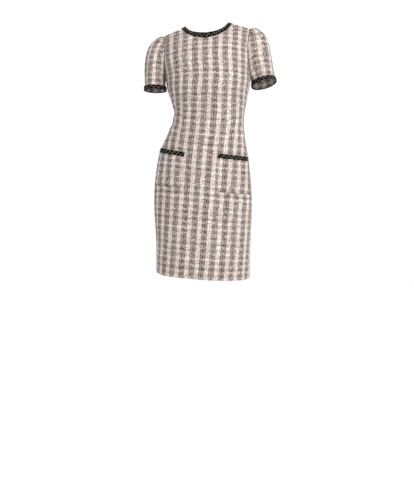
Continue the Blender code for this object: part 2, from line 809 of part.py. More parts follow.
def make_pocket(pocket, cloth, braid):
    """A patch pocket and the braid along its mouth."""
    name = "left" if pocket.side < 0 else "right"
    lift = SEAM + 0.1 * MM
    points, aims = pocket_grid(pocket, pocket.top, pocket.bottom, POCKET_ROWS)
    inside = moved(points, aims, lift)
    outside = moved(points, aims, lift + POCKET_CLOTH)
    mirrored = [pocket.side < 0] * (POCKET_OUTER_COLUMN - POCKET_INNER_COLUMN)
    wall("pocket_" + name, outside, inside, cloth, mirrored=mirrored)
    lower = pocket.top - POCKET_BRAID_WIDTH
    points, aims = pocket_grid(pocket, pocket.top, lower, 1)
    lift += POCKET_CLOTH + SEAM
    inside = moved(points, aims, lift)
    outside = moved(points, aims, lift + BRAID)
    wall("pocket_trim_" + name, outside, inside, braid, mirrored=mirrored)


# ---------------------------------------------------------------- the zip


def make_zip_tape(tape):
    """The tape, a thin strip behind the centre-back seam."""
    rows = range(math.ceil(row_at(ZIP_END_LEVEL)), BRAID_ROW + 1)
    points = []
    aims = []
    for row in rows:
        columns = (-ZIP_TAPE_COLUMN, 0, ZIP_TAPE_COLUMN)
        points.append([on_dress(1, column, row) for column in columns])
        aims.append([outward(1, column, row) for column in columns])
    depth = CLOTH + SEAM + 0.3 * MM
    outside = moved(points, aims, -depth)
    inside = moved(points, aims, -depth - ZIP_TAPE)
    wall("zip_tape", outside, inside, tape, mirrored=[True, False])


def slider_frame():
    """Where the slider sits: its place on the cloth, and its right, up and out."""
    length = yoke_length(1, 0)
    rise = 1 - SLIDER_BELOW_NECK / length
    top_rise = yoke_rise(1, 0, BRAID_ROW)
    base = SKIRT_ROWS + ARMHOLE_ROWS
    row = base + (BRAID_ROW - base) * rise / top_rise
    place = on_dress(1, 0, row)
    out = outward(1, 0, row)
    up = (on_dress(1, 0, row + 0.1) - on_dress(1, 0, row - 0.1)).normalized()
    right = up.cross(out).normalized()
    up = out.cross(right).normalized()
    turned = Matrix((right, up, out)).transposed().to_4x4()
    return Matrix.Translation(place + out * (SEAM + 0.2 * MM)) @ turned


def solid(name, maker, metal):
    """Links a closed mesh from a mesh maker, shaded by its edges."""
    mesh = bpy.data.meshes.new(name)
    maker.to_mesh(mesh)
    maker.free()
    return link(name, mesh, metal)


def block(size, centre):
    """A block mesh about a centre."""
    maker = bmesh.new()
    bmesh.ops.create_cube(maker, size=1.0)
    bmesh.ops.scale(maker, vec=size, verts=maker.verts)
    bmesh.ops.translate(maker, vec=centre, verts=maker.verts)
    return maker


def rod(radius, length, centre):
    """A round rod along X about a centre."""
    maker = bmesh.new()
    bmesh.ops.create_cone(
        maker, cap_ends=True, segments=METAL_ROUND, radius1=radius, radius2=radius, depth=length
    )
    bmesh.ops.rotate(
        maker, cent=Vector(), matrix=Matrix.Rotation(math.pi / 2, 3, "Y"), verts=maker.verts
    )
    bmesh.ops.translate(maker, vec=centre, verts=maker.verts)
    return maker


def combine(target, tool, operation):
    """Joins a hidden tool to a piece, or cuts it away."""
    tool.hide_render = True
    tool.display_type = "WIRE"
    for collection in list(tool.users_collection):
        collection.objects.unlink(tool)
    bpy.data.collections[CUTTERS].objects.link(tool)
    step = target.modifiers.new(operation.lower(), "BOOLEAN")
    step.solver = "EXACT"
    step.operation = operation
    step.object = tool


def make_slider(frame, metal):
    """The slider with two lugs and the bar that carries the pull."""
    axis = Vector((0.0, SLIDER_SIZE.y * 0.18, SLIDER_SIZE.z + EYE_RADIUS + EYE_CLEARANCE))
    slider = solid("zip_slider", block(SLIDER_SIZE, Vector((0, 0, SLIDER_SIZE.z / 2))), metal)
    slider.matrix_world = frame
    bevel = slider.modifiers.new("rounded", "BEVEL")
    bevel.width = 0.5 * MM
    bevel.segments = 2
    lug_height = axis.z + BAR_RADIUS + 0.5 * MM
    lug_offset = PULL_EYE_WIDTH / 2 + EYE_CLEARANCE + LUG_WIDTH / 2
    for side in (-1, 1):
        size = Vector((LUG_WIDTH, 3.0 * MM, lug_height - 0.4 * MM))
        centre = Vector((side * lug_offset, axis.y, lug_height / 2 + 0.2 * MM))
        lug = solid("slider_lug", block(size, centre), metal)
        lug.matrix_world = frame
        combine(slider, lug, "UNION")
    bar = solid("slider_bar", rod(BAR_RADIUS, 2 * lug_offset, axis), metal)
    bar.matrix_world = frame
    combine(slider, bar, "UNION")
    return axis


def make_pull(frame, axis, metal):
    """The pull: an eye round the bar and a tab that hangs from it against the cloth."""
    pull = solid("zip_pull", rod(EYE_RADIUS, PULL_EYE_WIDTH, Vector()), metal)
    lean = Matrix.Rotation(math.radians(PULL_LEAN), 4, "X")
    pull.matrix_world = frame @ Matrix.Translation(axis) @ lean
    top = -EYE_RADIUS * 0.8
    size = Vector((PULL_EYE_WIDTH, PULL_LENGTH * 0.35, PULL_THICKNESS))
    neck = solid("pull_neck", block(size, Vector((0, top - size.y / 2, 0))), metal)
    neck.matrix_world = pull.matrix_world
    combine(pull, neck, "UNION")
    size = Vector((PULL_WIDTH, PULL_LENGTH * 0.7, PULL_THICKNESS * 0.999))
    low = top - PULL_LENGTH + size.y / 2
    tab = solid("pull_tab", block(size, Vector((0, low, 0))), metal)
    tab.matrix_world = pull.matrix_world
    combine(pull, tab, "UNION")
    bore = solid("pull_bore", rod(BAR_RADIUS + EYE_CLEARANCE, 3 * PULL_EYE_WIDTH, Vector()), metal)
    bore.matrix_world = pull.matrix_world
    combine(pull, bore, "DIFFERENCE")


# ---------------------------------------------------------------- the whole

COLLECTION = "sheath_dress"
CUTTERS = "sheath_dress_cutters"


def material(name, colour, roughness, metallic=0.0):
    """A plain finish for one kind of piece."""
    made = bpy.data.materials.new(name)
    made.use_nodes = True
    shader = made.node_tree.nodes["Principled BSDF"]
    shader.inputs["Base Color"].default_value = (*colour, 1.0)
    shader.inputs["Roughness"].default_value = roughness
    shader.inputs["Metallic"].default_value = metallic
    return made


def main():
    remove_scene_objects()
    for name in (COLLECTION, CUTTERS):
        bpy.context.scene.collection.children.link(bpy.data.collections.new(name))
    tweed = material("tweed", (0.52, 0.44, 0.38), 0.9)
    braid = material("braid", (0.02, 0.016, 0.012), 0.55)
    panel("front", -1, -SIDE_COLUMN, SIDE_COLUMN, tweed)
    panel("back_left", 1, -SIDE_COLUMN, 0, tweed)
    panel("back_right", 1, 0, SIDE_COLUMN, tweed)
    for sleeve in SLEEVES:
        make_sleeve(sleeve, tweed, braid)
    make_neck_trim(braid)
    for pocket in POCKETS:
        make_pocket(pocket, tweed, braid)
    make_zip_tape(material("zip_tape", (0.50, 0.44, 0.39), 0.8))
    metal = material("zip_metal", (0.55, 0.50, 0.44), 0.35, 1.0)
    frame = slider_frame()
    axis = make_slider(frame, metal)
    make_pull(frame, axis, metal)


main()
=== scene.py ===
"""Looks of a short-sleeved sheath dress of checked tweed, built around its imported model.

The cloth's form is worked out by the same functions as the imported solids, on a finer
grid, and every point also gets its place on the flat cloth, so that the check runs with
the grain. Lengths are in metres, +Z up, and the front faces -Y.
"""

import math
from bisect import bisect_right
from collections import namedtuple
from functools import lru_cache

import bpy
import numpy as np
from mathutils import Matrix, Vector


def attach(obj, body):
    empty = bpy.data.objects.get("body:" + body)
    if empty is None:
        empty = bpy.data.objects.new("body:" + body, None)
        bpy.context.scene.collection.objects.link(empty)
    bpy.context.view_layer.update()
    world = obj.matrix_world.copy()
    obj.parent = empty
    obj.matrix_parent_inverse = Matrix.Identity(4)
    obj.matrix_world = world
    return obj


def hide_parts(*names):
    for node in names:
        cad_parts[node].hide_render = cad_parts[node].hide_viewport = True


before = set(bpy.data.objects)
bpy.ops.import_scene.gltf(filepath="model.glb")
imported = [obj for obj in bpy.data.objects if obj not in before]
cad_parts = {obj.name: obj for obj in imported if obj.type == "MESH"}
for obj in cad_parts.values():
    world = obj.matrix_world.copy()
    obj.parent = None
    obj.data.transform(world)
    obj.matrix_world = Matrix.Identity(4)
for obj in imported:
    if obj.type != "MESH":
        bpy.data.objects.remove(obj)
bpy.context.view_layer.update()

MM = 0.001
BODY = "dress"

# ================================================================ the form, as packed

CLOTH = 2.0 * MM
SEAM = 0.4 * MM

HEM_LEVEL = -0.908
UNDERARM_LEVEL = -0.200
CHEST_LEVEL = -0.111
SHOULDER_TIP = Vector((0.157, 0.003, -0.024))
SHOULDER_CROWN = 0.0025

NECK_HALF_WIDTH = 0.0785
NECK_FRONT = Vector((0.0, -0.066, -0.043))
NECK_BACK = Vector((0.0, 0.058, -0.015))
NECK_DIP = 1.3

ARMHOLE_HALF_HEIGHT = CHEST_LEVEL - UNDERARM_LEVEL
ARMHOLE_FRONT = 0.043
ARMHOLE_BACK = 0.047

# Half width, depth in front and behind, and squareness of the section at each level
Form = namedtuple("Form", "level half_width front back square_front square_back")
FORM = (
    Form(-0.920, 0.1706, 0.108, 0.112, 2.15, 2.15),
    Form(-0.860, 0.1711, 0.108, 0.114, 2.15, 2.15),
    Form(-0.800, 0.1721, 0.108, 0.117, 2.15, 2.15),
    Form(-0.740, 0.1750, 0.108, 0.121, 2.15, 2.15),
    Form(-0.680, 0.1785, 0.108, 0.126, 2.10, 2.15),
    Form(-0.620, 0.1788, 0.108, 0.131, 2.10, 2.15),
    Form(-0.560, 0.1741, 0.108, 0.134, 2.10, 2.15),
    Form(-0.500, 0.1663, 0.108, 0.130, 2.10, 2.15),
    Form(-0.450, 0.1560, 0.107, 0.119, 2.10, 2.15),
    Form(-0.400, 0.1403, 0.103, 0.102, 2.15, 2.15),
    Form(-0.360, 0.1310, 0.100, 0.090, 2.20, 2.20),
    Form(-0.330, 0.1279, 0.100, 0.085, 2.20, 2.20),
    Form(-0.300, 0.1321, 0.108, 0.087, 2.25, 2.20),
    Form(-0.270, 0.1392, 0.121, 0.093, 2.30, 2.25),
    Form(-0.240, 0.1471, 0.131, 0.099, 2.35, 2.30),
    Form(-0.210, 0.1525, 0.134, 0.104, 2.35, 2.35),
    Form(-0.180, 0.1550, 0.130, 0.107, 2.35, 2.35),
    Form(-0.145, 0.1578, 0.119, 0.107, 2.35, 2.35),
    Form(-0.111, 0.1600, 0.105, 0.103, 2.30, 2.30),
)

# Shift, turn (degrees), tilt, bend and sag of each level as the dress stands
Stance = namedtuple("Stance", "level shift turn tilt bend sag")
STANCE = (
    Stance(-0.920, -0.0155, 6.0, 0.064, 0.000, 0.016),
    Stance(-0.800, -0.0143, 6.5, 0.074, 0.000, 0.010),
    Stance(-0.680, -0.0152, 7.0, 0.087, 0.000, 0.006),
    Stance(-0.560, -0.0137, 7.0, 0.098, 0.000, 0.005),
    Stance(-0.470, -0.0095, 7.0, 0.105, 0.001, 0.008),
    Stance(-0.400, -0.0030, 7.0, 0.090, 0.002, 0.005),
    Stance(-0.360, 0.0000, 7.0, 0.073, 0.004, 0.002),
    Stance(-0.330, 0.0012, 6.5, 0.060, 0.006, 0.000),
    Stance(-0.300, 0.0020, 6.0, 0.047, 0.005, 0.000),
    Stance(-0.270, 0.0030, 5.0, 0.034, 0.003, 0.000),
    Stance(-0.240, 0.0032, 4.0, 0.020, 0.001, 0.000),
    Stance(-0.200, 0.0040, 2.5, 0.000, 0.000, 0.000),
    Stance(-0.155, 0.0000, 1.5, -0.030, 0.000, 0.000),
    Stance(-0.111, -0.0030, 1.0, -0.055, 0.000, 0.000),
    Stance(-0.024, -0.0010, 0.5, -0.090, 0.000, 0.000),
    Stance(0.010, 0.0000, 0.0, -0.100, 0.000, 0.000),
)

POCKET_INNER_COLUMN = 4
NECK_COLUMN = 7
POCKET_OUTER_COLUMN = 12
SIDE_COLUMN = 13
POCKET_INNER = 0.065
POCKET_OUTER = 0.197
SIDE_MARGIN = 0.011

SKIRT_ROWS = 24
ROW_CLOSING = 0.38
ARMHOLE_ROWS = 5
YOKE_ROWS = 6
BRAID_ROW = SKIRT_ROWS + ARMHOLE_ROWS + YOKE_ROWS - 1
TOP_ROW = BRAID_ROW + 1
NECK_BRAID_WIDTH = 14.0 * MM
NECK_PARTING = 3.0 * MM

Pocket = namedtuple("Pocket", "name side side_rise top bottom")
POCKETS = (
    Pocket("left", -1, 0.008, -0.4680, -0.5970),
    Pocket("right", 1, -0.002, -0.4620, -0.6020),
)
POCKET_CLOTH = 1.6 * MM
POCKET_BRAID_WIDTH = 15.5 * MM

Sleeve = namedtuple("Sleeve", "name side centre half_width half_depth out back lift")
SLEEVES = (
    Sleeve("left", -1, Vector((-0.1885, 0.004, -0.2330)), 0.0385, 0.0575, 1.0, 0.0, 14.0),
    Sleeve("right", 1, Vector((0.2080, 0.002, -0.2100)), 0.0440, 0.0540, 14.0, -10.0, 27.0),
)
SLEEVE_ROWS = 8
CUFF_BRAID_WIDTH = 15.0 * MM

ZIP_END_LEVEL = -0.530
ZIP_TAPE_COLUMN = 0.7
ZIP_TAPE = 0.8 * MM

TUCK_DISTANCE = 0.026
TUCK_LENGTH = 0.048
TUCK_RISE = 5.0 * MM
TUCK_EDGE = 4.0 * MM

# Soft folds and drag creases of the cloth
Fold = namedtuple("Fold", "facing low_column high_column low high half_width depth")
FOLDS = (
    Fold(-1, -1.0, -0.5, -0.930, -0.640, 3.2, 0.0045),
    Fold(-1, -11.6, -11.2, -0.930, -0.615, 1.7, 0.0040),
    Fold(-1, 11.3, 11.8, -0.930, -0.625, 1.5, 0.0030),
    Fold(-1, 8.4, 7.8, -0.930, -0.700, 1.9, 0.0020),
    Fold(1, 0.0, 0.0, -0.930, -0.660, 3.4, 0.0060),
    Fold(1, -9.4, -9.0, -0.930, -0.640, 2.0, 0.0035),
    Fold(1, 9.8, 9.2, -0.930, -0.690, 2.0, 0.0025),
)
Drag = namedtuple("Drag", "facing column level slope reach half_width depth")
DRAGS = (
    Drag(-1, -12.0, -0.318, -0.0035, 4.2, 0.016, 0.0028),
    Drag(-1, -12.4, -0.362, -0.0020, 3.4, 0.015, 0.0024),
    Drag(-1, 12.2, -0.336, 0.0025, 3.2, 0.016, 0.0018),
    Drag(1, -3.0, -0.322, 0.0015, 6.0, 0.018, 0.0045),
    Drag(1, 3.6, -0.368, -0.0012, 5.0, 0.017, 0.0035),
    Drag(1, -11.5, -0.350, 0.0030, 3.6, 0.015, 0.0026),
)

LEAN_CENTRE_FRONT = 62.0
LEAN_CENTRE_BACK = 68.0
FAN = 45.0
FAN_COLUMNS = 2.5
YOKE_FULLNESS = 1.40
QUARTER_STEPS = 120


def hermite(p, slope_p, q, slope_q, t):
    """A cubic from p to q with the given slopes."""
    return (
        p * (1 + 2 * t) * (1 - t) ** 2
        + slope_p * t * (1 - t) ** 2
        + q * t * t * (3 - 2 * t)
        + slope_q * t * t * (t - 1)
    )


def smooth_row(table, level):
    """Reads a table at a level, with a smooth curve through its rows."""
    first, last = table[0], table[-1]
    level = min(max(level, first.level), last.level)
    index = max(i for i, row in enumerate(table[:-1]) if row.level <= level)
    low, high = table[index], table[index + 1]
    before = table[max(index - 1, 0)]
    after = table[min(index + 2, len(table) - 1)]
    span = high.level - low.level
    t = (level - low.level) / span
    values = [level]
    for b, p, q, a in zip(before[1:], low[1:], high[1:], after[1:]):
        slope_p = (q - b) / (high.level - before.level)
        slope_q = (a - p) / (after.level - low.level)
        values.append(hermite(p, slope_p * span, q, slope_q * span, t))
    return type(first)(*values)


@lru_cache(maxsize=None)
def quarter(level, facing):
    """A quarter of the section from the centre line to the side seam: x, depth, length."""
    row = smooth_row(FORM, level)
    depth = row.front if facing < 0 else row.back
    power = 2 / (row.square_front if facing < 0 else row.square_back)
    points = []
    length = 0.0
    for step in range(QUARTER_STEPS + 1):
        angle = math.pi / 2 * step / QUARTER_STEPS
        x = row.half_width * max(math.sin(angle), 0.0) ** power
        y = depth * max(math.cos(angle), 0.0) ** power
        if points:
            length += math.hypot(x - points[-1][0], y - points[-1][1])
        points.append((x, y, length))
    return points


def quarter_point(level, facing, distance):
    """The point of the section at a distance round from the centre line."""
    points = quarter(level, facing)
    distance = min(distance, points[-1][2])
    after = bisect_right(points, distance, key=lambda point: point[2])
    low = min(max(after, 1), len(points) - 1) - 1
    p, q = points[low], points[low + 1]
    t = (distance - p[2]) / (q[2] - p[2])
    return p[0] + (q[0] - p[0]) * t, p[1] + (q[1] - p[1]) * t


def armhole_depth(level, facing):
    """How far the armhole's oval stands before or behind the shoulder at a level."""
    reach = ARMHOLE_FRONT if facing < 0 else ARMHOLE_BACK
    t = (level - CHEST_LEVEL) / ARMHOLE_HALF_HEIGHT
    return reach * math.sqrt(max(0.0, 1 - t * t))


@lru_cache(maxsize=None)
def panel_reach(level, facing):
    """The distance from the centre line to the side seam, or to the armhole above it."""
    points = quarter(level, facing)
    if level <= UNDERARM_LEVEL:
        return points[-1][2]
    depth = armhole_depth(level, facing)
    for p, q in zip(points, points[1:]):
        if q[1] <= depth:
            t = (p[1] - depth) / (p[1] - q[1])
            return p[2] + (q[2] - p[2]) * t
    return points[-1][2]


def column_distance(level, facing, column):
    """Where a column lies: the same distance at every level that is wide enough."""
    reach = panel_reach(level, facing)
    narrowing = min(1.0, (reach - SIDE_MARGIN) / POCKET_OUTER)
    stops = (
        (0, 0.0),
        (POCKET_INNER_COLUMN, POCKET_INNER * narrowing),
        (POCKET_OUTER_COLUMN, POCKET_OUTER * narrowing),
        (SIDE_COLUMN, reach),
    )
    for (c0, d0), (c1, d1) in zip(stops, stops[1:]):
        if column <= c1:
            return d0 + (d1 - d0) * (column - c0) / (c1 - c0)
    return reach


def top_edge(facing, column):
    """The panel's top: the neck edge, then the shoulder seam out to its tip."""
    if column <= NECK_COLUMN:
        angle = math.pi / 2 * column / NECK_COLUMN
        centre = NECK_FRONT if facing < 0 else NECK_BACK
        forward = max(math.cos(angle), 0.0)
        x = NECK_HALF_WIDTH * math.sin(angle)
        return Vector((x, centre.y * forward, centre.z * forward**NECK_DIP))
    inner = Vector((NECK_HALF_WIDTH, 0.0, 0.0))
    braid_share = NECK_BRAID_WIDTH / (SHOULDER_TIP - inner).length
    if column <= NECK_COLUMN + 1:
        t = braid_share * (column - NECK_COLUMN)
    else:
        t = (column - NECK_COLUMN - 1) / (SIDE_COLUMN - NECK_COLUMN - 1)
        t = braid_share + (1 - braid_share) * t
    crown = Vector((0.0, 0.0, SHOULDER_CROWN * math.sin(math.pi * t)))
    return inner.lerp(SHOULDER_TIP, t) + crown


@lru_cache(maxsize=None)
def yoke_curve(facing, column):
    """The ends and slopes of the yoke along a column."""
    distance = column_distance(CHEST_LEVEL, facing, column)
    x, depth = quarter_point(CHEST_LEVEL, facing, distance)
    start = Vector((x, facing * depth, CHEST_LEVEL))
    step = 0.004
    below = quarter_point(
        CHEST_LEVEL - step, facing, column_distance(CHEST_LEVEL - step, facing, column)
    )
    slope = Vector((x - below[0], facing * (depth - below[1]), step)) / step
    end = top_edge(facing, column)
    height = end.z - start.z
    run = abs(end.y - start.y)
    shoulder_slope = -SHOULDER_TIP.z / (SHOULDER_TIP.x - NECK_HALF_WIDTH)
    if column <= NECK_COLUMN:
        share = column / NECK_COLUMN
        fan = math.radians(FAN) * share**1.5
        centre_lean = LEAN_CENTRE_FRONT if facing < 0 else LEAN_CENTRE_BACK
        side_lean = math.atan(shoulder_slope * math.sin(math.radians(FAN)))
        lean = math.radians(centre_lean) * (1 - share**1.6) + side_lean * share**1.6
    else:
        fan = math.radians(FAN) * max(0.0, 1 - (column - NECK_COLUMN) / FAN_COLUMNS)
        lean = math.atan(shoulder_slope * math.sin(fan))
    size = math.hypot(height * math.sin(lean), run * math.cos(lean)) * YOKE_FULLNESS
    aim = Vector((-math.sin(fan), -facing * math.cos(fan), 0.0)) * math.cos(lean)
    aim.z = math.sin(lean)
    return start, slope * height * YOKE_FULLNESS, end, aim * size


def row_level(row):
    """The level of a row below the chest line."""
    if row <= SKIRT_ROWS:
        share = row / SKIRT_ROWS
        share = (1 + ROW_CLOSING) * share - ROW_CLOSING * share * share
        return HEM_LEVEL + (UNDERARM_LEVEL - HEM_LEVEL) * share
    angle = math.pi / 2 * (row - SKIRT_ROWS) / ARMHOLE_ROWS
    return CHEST_LEVEL - ARMHOLE_HALF_HEIGHT * math.cos(angle)


def row_at(level):
    """The row, in parts of one, at a level below the underarm."""
    share = (level - HEM_LEVEL) / (UNDERARM_LEVEL - HEM_LEVEL)
    root = math.sqrt((1 + ROW_CLOSING) ** 2 - 4 * ROW_CLOSING * share)
    return SKIRT_ROWS * (1 + ROW_CLOSING - root) / (2 * ROW_CLOSING)


@lru_cache(maxsize=None)
def yoke_length(facing, column):
    """The length of the yoke along a column, from the chest line to the top edge."""
    curve = yoke_curve(facing, column)
    points = [hermite(*curve, step / 24) for step in range(25)]
    return sum((q - p).length for p, q in zip(points, points[1:]))


def yoke_rise(facing, column, row):
    """Rows of the yoke are even, and the last one is as wide as the neck braid."""
    slant = math.radians(FAN) * min(column / NECK_COLUMN, 1.0) ** 6
    slant *= max(0.0, 1 - max(column - NECK_COLUMN, 0.0))
    width = NECK_BRAID_WIDTH / math.cos(slant)
    edge = 1 - width / yoke_length(facing, round(column, 3))
    base = SKIRT_ROWS + ARMHOLE_ROWS
    if row <= BRAID_ROW:
        return edge * (row - base) / (BRAID_ROW - base)
    return edge + (1 - edge) * (row - BRAID_ROW)


def soft(distance):
    """A rounded bump, 1 at no distance and 0 from a distance of 1."""
    inside = max(0.0, 1 - distance * distance)
    return inside * inside


def fold_depth(facing, column, level):
    """How far the folds draw the cloth in at a point."""
    depth = 0.0
    for fold in FOLDS:
        if fold.facing != facing or not fold.low < level < fold.high:
            continue
        share = (level - fold.low) / (fold.high - fold.low)
        trough = fold.low_column + (fold.high_column - fold.low_column) * share
        fade = math.cos(math.pi / 2 * share) ** 1.5
        depth += fold.depth * fade * soft((column - trough) / fold.half_width)
    for drag in DRAGS:
        if drag.facing != facing:
            continue
        trough = drag.level + drag.slope * (column - drag.column)
        across = soft((column - drag.column) / drag.reach)
        depth += drag.depth * across * soft((level - trough) / drag.half_width)
    return depth


def upright(facing, column, row):
    """A point of the upright dress. Columns left of the centre line are negative."""
    side = -1.0 if column < 0 else 1.0
    signed = column
    column = abs(column)
    if row <= SKIRT_ROWS + ARMHOLE_ROWS:
        level = row_level(row)
        x, depth = quarter_point(level, facing, column_distance(level, facing, column))
        drawn = fold_depth(facing, signed, level) * min(1.0, (SIDE_COLUMN - column) / 1.5)
        inward = Vector((-side * x, -facing * depth, 0.0)).normalized()
        return Vector((side * x, facing * depth, level)) + inward * drawn
    curve = yoke_curve(facing, round(column, 3))
    point = hermite(*curve, yoke_rise(facing, column, row))
    return Vector((side * point.x, point.y, point.z))


def stand(point):
    """Moves a point of the upright dress to where it is as the dress stands."""
    stance = smooth_row(STANCE, point.z)
    form = smooth_row(FORM, point.z)
    out = min(abs(point.x) / form.half_width, 1.0)
    x = point.x + stance.bend * out * out
    turn = math.radians(stance.turn)
    turned_x = x * math.cos(turn) + point.y * math.sin(turn)
    turned_y = point.y * math.cos(turn) - x * math.sin(turn)
    forward = max(0.0, -point.y / form.front)
    z = point.z - stance.tilt * turned_x - stance.sag * forward
    return Vector((turned_x + stance.shift, turned_y, z))


def on_dress(facing, column, row):
    """A point of the outer side of the cloth."""
    return stand(upright(facing, column, row))


def panel_outward(facing, column, row):
    """The outward direction of one panel at a point."""
    step = 0.02
    left = max(column - step, -SIDE_COLUMN)
    right = min(column + step, SIDE_COLUMN)
    low = max(row - step, 0)
    high = min(row + step, TOP_ROW)
    if left < 0 < right:
        across = on_dress(facing, right, row) - on_dress(facing, left, row)
    elif column >= 0:
        across = on_dress(facing, right, row) - on_dress(facing, max(left, 0), row)
    else:
        across = on_dress(facing, min(right, -1e-6), row) - on_dress(facing, left, row)
    up = on_dress(facing, column, high) - on_dress(facing, column, low)
    normal = across.cross(up).normalized()
    return normal if facing < 0 else -normal


def outward(facing, column, row):
    """The cloth's outward direction, shared by both panels at a shoulder seam."""
    normal = panel_outward(facing, column, row)
    if row == TOP_ROW and abs(column) >= NECK_COLUMN:
        normal = (normal + panel_outward(-facing, column, row)).normalized()
    return normal


# ---------------------------------------------------------------- sleeves, as packed


def armhole_ring(side):
    """The armhole's points, outward directions and the way on past the edge."""
    column = side * SIDE_COLUMN
    ring = []
    for facing in (-1, 1):
        rows = list(range(SKIRT_ROWS, TOP_ROW + 1))
        stretch = []
        for row in rows:
            point = on_dress(facing, column, row)
            inner = on_dress(facing, side * (SIDE_COLUMN - 0.25), row)
            normal = outward(facing, column, row)
            past = (point - inner).normalized()
            if row == SKIRT_ROWS:
                past = Vector((0.0, 0.0, 1.0))
                normal = Vector((float(side), 0.0, 0.0))
            stretch.append((point, normal, past))
        fine = []
        for row, (here, after) in zip(rows, zip(stretch, stretch[1:])):
            fine.append(here)
            if row >= SKIRT_ROWS + ARMHOLE_ROWS:
                fine.append(tuple(((a + b) / 2) for a, b in zip(here, after)))
        fine.append(stretch[-1])
        ring.append(fine)
    front, back = ring
    joined = front + back[-2:0:-1]
    top = len(front) - 1
    joined[top] = tuple((a + b) / 2 for a, b in zip(front[-1], back[-1]))
    return joined, top


def ring_lengths(points, top):
    """Each point's distance along a closed ring from the top one, by the short way."""
    count = len(points)
    lengths = [0.0] * count
    for direction in (-1, 1):
        travelled = 0.0
        for step in range(1, count // 2 + 1):
            here = (top + direction * step) % count
            travelled += (points[here] - points[(here - direction) % count]).length
            lengths[here] = travelled
    return lengths


def tuck_height(distance, along):
    """The raised band between the sleeve head's two tucks."""
    fade = max(0.0, 1 - along / TUCK_LENGTH)
    fade = fade * fade * (3 - 2 * fade)
    edge = (TUCK_DISTANCE - distance) / TUCK_EDGE
    if edge >= 1:
        height = 1.0
    elif edge <= -1:
        height = -0.25 * max(0.0, 1 - (abs(edge) - 1) / 3)
    else:
        height = 0.375 + 0.625 * edge
    start = min(1.0, 0.15 + along / 0.012)
    return TUCK_RISE * height * fade * start


def sleeve_axis(sleeve):
    """Down the arm, and across it away from the body."""
    out = math.radians(sleeve.out) * sleeve.side
    back = math.radians(sleeve.back)
    down = Vector((math.sin(out), math.sin(back), -math.cos(out))).normalized()
    across = Vector((math.cos(out), 0.0, math.sin(out)))
    return down, across


def hem_ring(sleeve, turns):
    """The sleeve's hem: an oval square to the arm."""
    down, across = sleeve_axis(sleeve)
    forward = across.cross(down).normalized()
    if forward.y > 0:
        forward = -forward
    ring = []
    for angle in turns:
        outer = across * sleeve.side * math.cos(angle) * sleeve.half_width
        ring.append(sleeve.centre + outer + forward * math.sin(angle) * sleeve.half_depth)
    return ring, down


def sleeve_grid(sleeve):
    """The sleeve's outer points as packed, with each one's distances, row by row."""
    ring, top = armhole_ring(sleeve.side)
    points = [item[0] for item in ring]
    count = len(points)
    lengths = ring_lengths(points, top)
    longest = max(lengths)
    turns = []
    for index in range(count):
        turns.append(math.pi * lengths[index] / longest * (1 if index <= top else -1))
    hem, down = hem_ring(sleeve, turns)
    grid = [[None] * count for _ in range(SLEEVE_ROWS + 1)]
    for index, (point, normal, past) in enumerate(ring):
        share = lengths[index] / longest
        fold = math.radians(sleeve.lift + (150 - sleeve.lift) * share**1.1)
        half = fold / 2
        start = point + (past * math.cos(half) + normal * math.sin(half)) * SEAM
        away = past * math.cos(fold) + normal * math.sin(fold)
        reach = (hem[index] - start).length
        pull = reach * (1.25 - 0.45 * share)
        finish = down * reach * (1.15 - 0.15 * share)
        steps = 40
        ends = (start, away * pull, hem[index], finish)
        track = [hermite(*ends, step / steps) for step in range(steps + 1)]
        travelled = [0.0]
        for p, q in zip(track, track[1:]):
            travelled.append(travelled[-1] + (q - p).length)
        braid_start = travelled[-1] - min(CUFF_BRAID_WIDTH, travelled[-1] * 0.45)
        for row in range(SLEEVE_ROWS + 1):
            goal = braid_start * row / (SLEEVE_ROWS - 1)
            if row == SLEEVE_ROWS:
                goal = travelled[-1]
            spot = next(i for i in range(1, steps + 1) if travelled[i] >= goal - 1e-9)
            t = (goal - travelled[spot - 1]) / (travelled[spot] - travelled[spot - 1])
            grid[row][index] = (track[spot - 1].lerp(track[spot], t), goal, lengths[index])
    return grid, top


# ================================================================ grids of cloth


def unit(vectors):
    """Vectors made one long."""
    length = np.linalg.norm(vectors, axis=-1, keepdims=True)
    return vectors / np.maximum(length, 1e-12)


def grid_normals(points, closed):
    """Outward directions of a grid of points. A closed grid repeats its first column."""
    if closed:
        ring = points[:, :-1]
        across = np.roll(ring, -1, axis=1) - np.roll(ring, 1, axis=1)
        across = np.concatenate([across, across[:, :1]], axis=1)
    else:
        across = np.gradient(points, axis=1)
    up = np.gradient(points, axis=0)
    return unit(np.cross(across, up))


def cloth_frame(normals, rising):
    """The cloth's directions up the grain and across it at each point."""
    up = unit(rising - normals * np.sum(rising * normals, axis=-1, keepdims=True))
    return up, unit(np.cross(up, normals))


def cloth_coordinates(points, normals, rising, start):
    """Each point's place on the flat cloth: across the grain and along it.

    Both are added up along the rows from a starting column, where the first is 0 and
    the second is the length along that column.
    """
    up, across = cloth_frame(normals, rising)
    rows, columns = points.shape[:2]
    u = np.zeros((rows, columns))
    v = np.zeros((rows, columns))
    steps = np.diff(points[:, start], axis=0)
    climbs = np.sign(np.sum(steps * up[1:, start], axis=-1))
    v[1:, start] = np.cumsum(np.linalg.norm(steps, axis=-1) * climbs)
    for direction in (1, -1):
        column = start + direction
        while 0 <= column < columns:
            step = points[:, column] - points[:, column - direction]
            mean_across = (across[:, column] + across[:, column - direction]) / 2
            mean_up = (up[:, column] + up[:, column - direction]) / 2
            u[:, column] = u[:, column - direction] + np.sum(step * mean_across, axis=-1)
            v[:, column] = v[:, column - direction] + np.sum(step * mean_up, axis=-1)
            column += direction
    return u, v


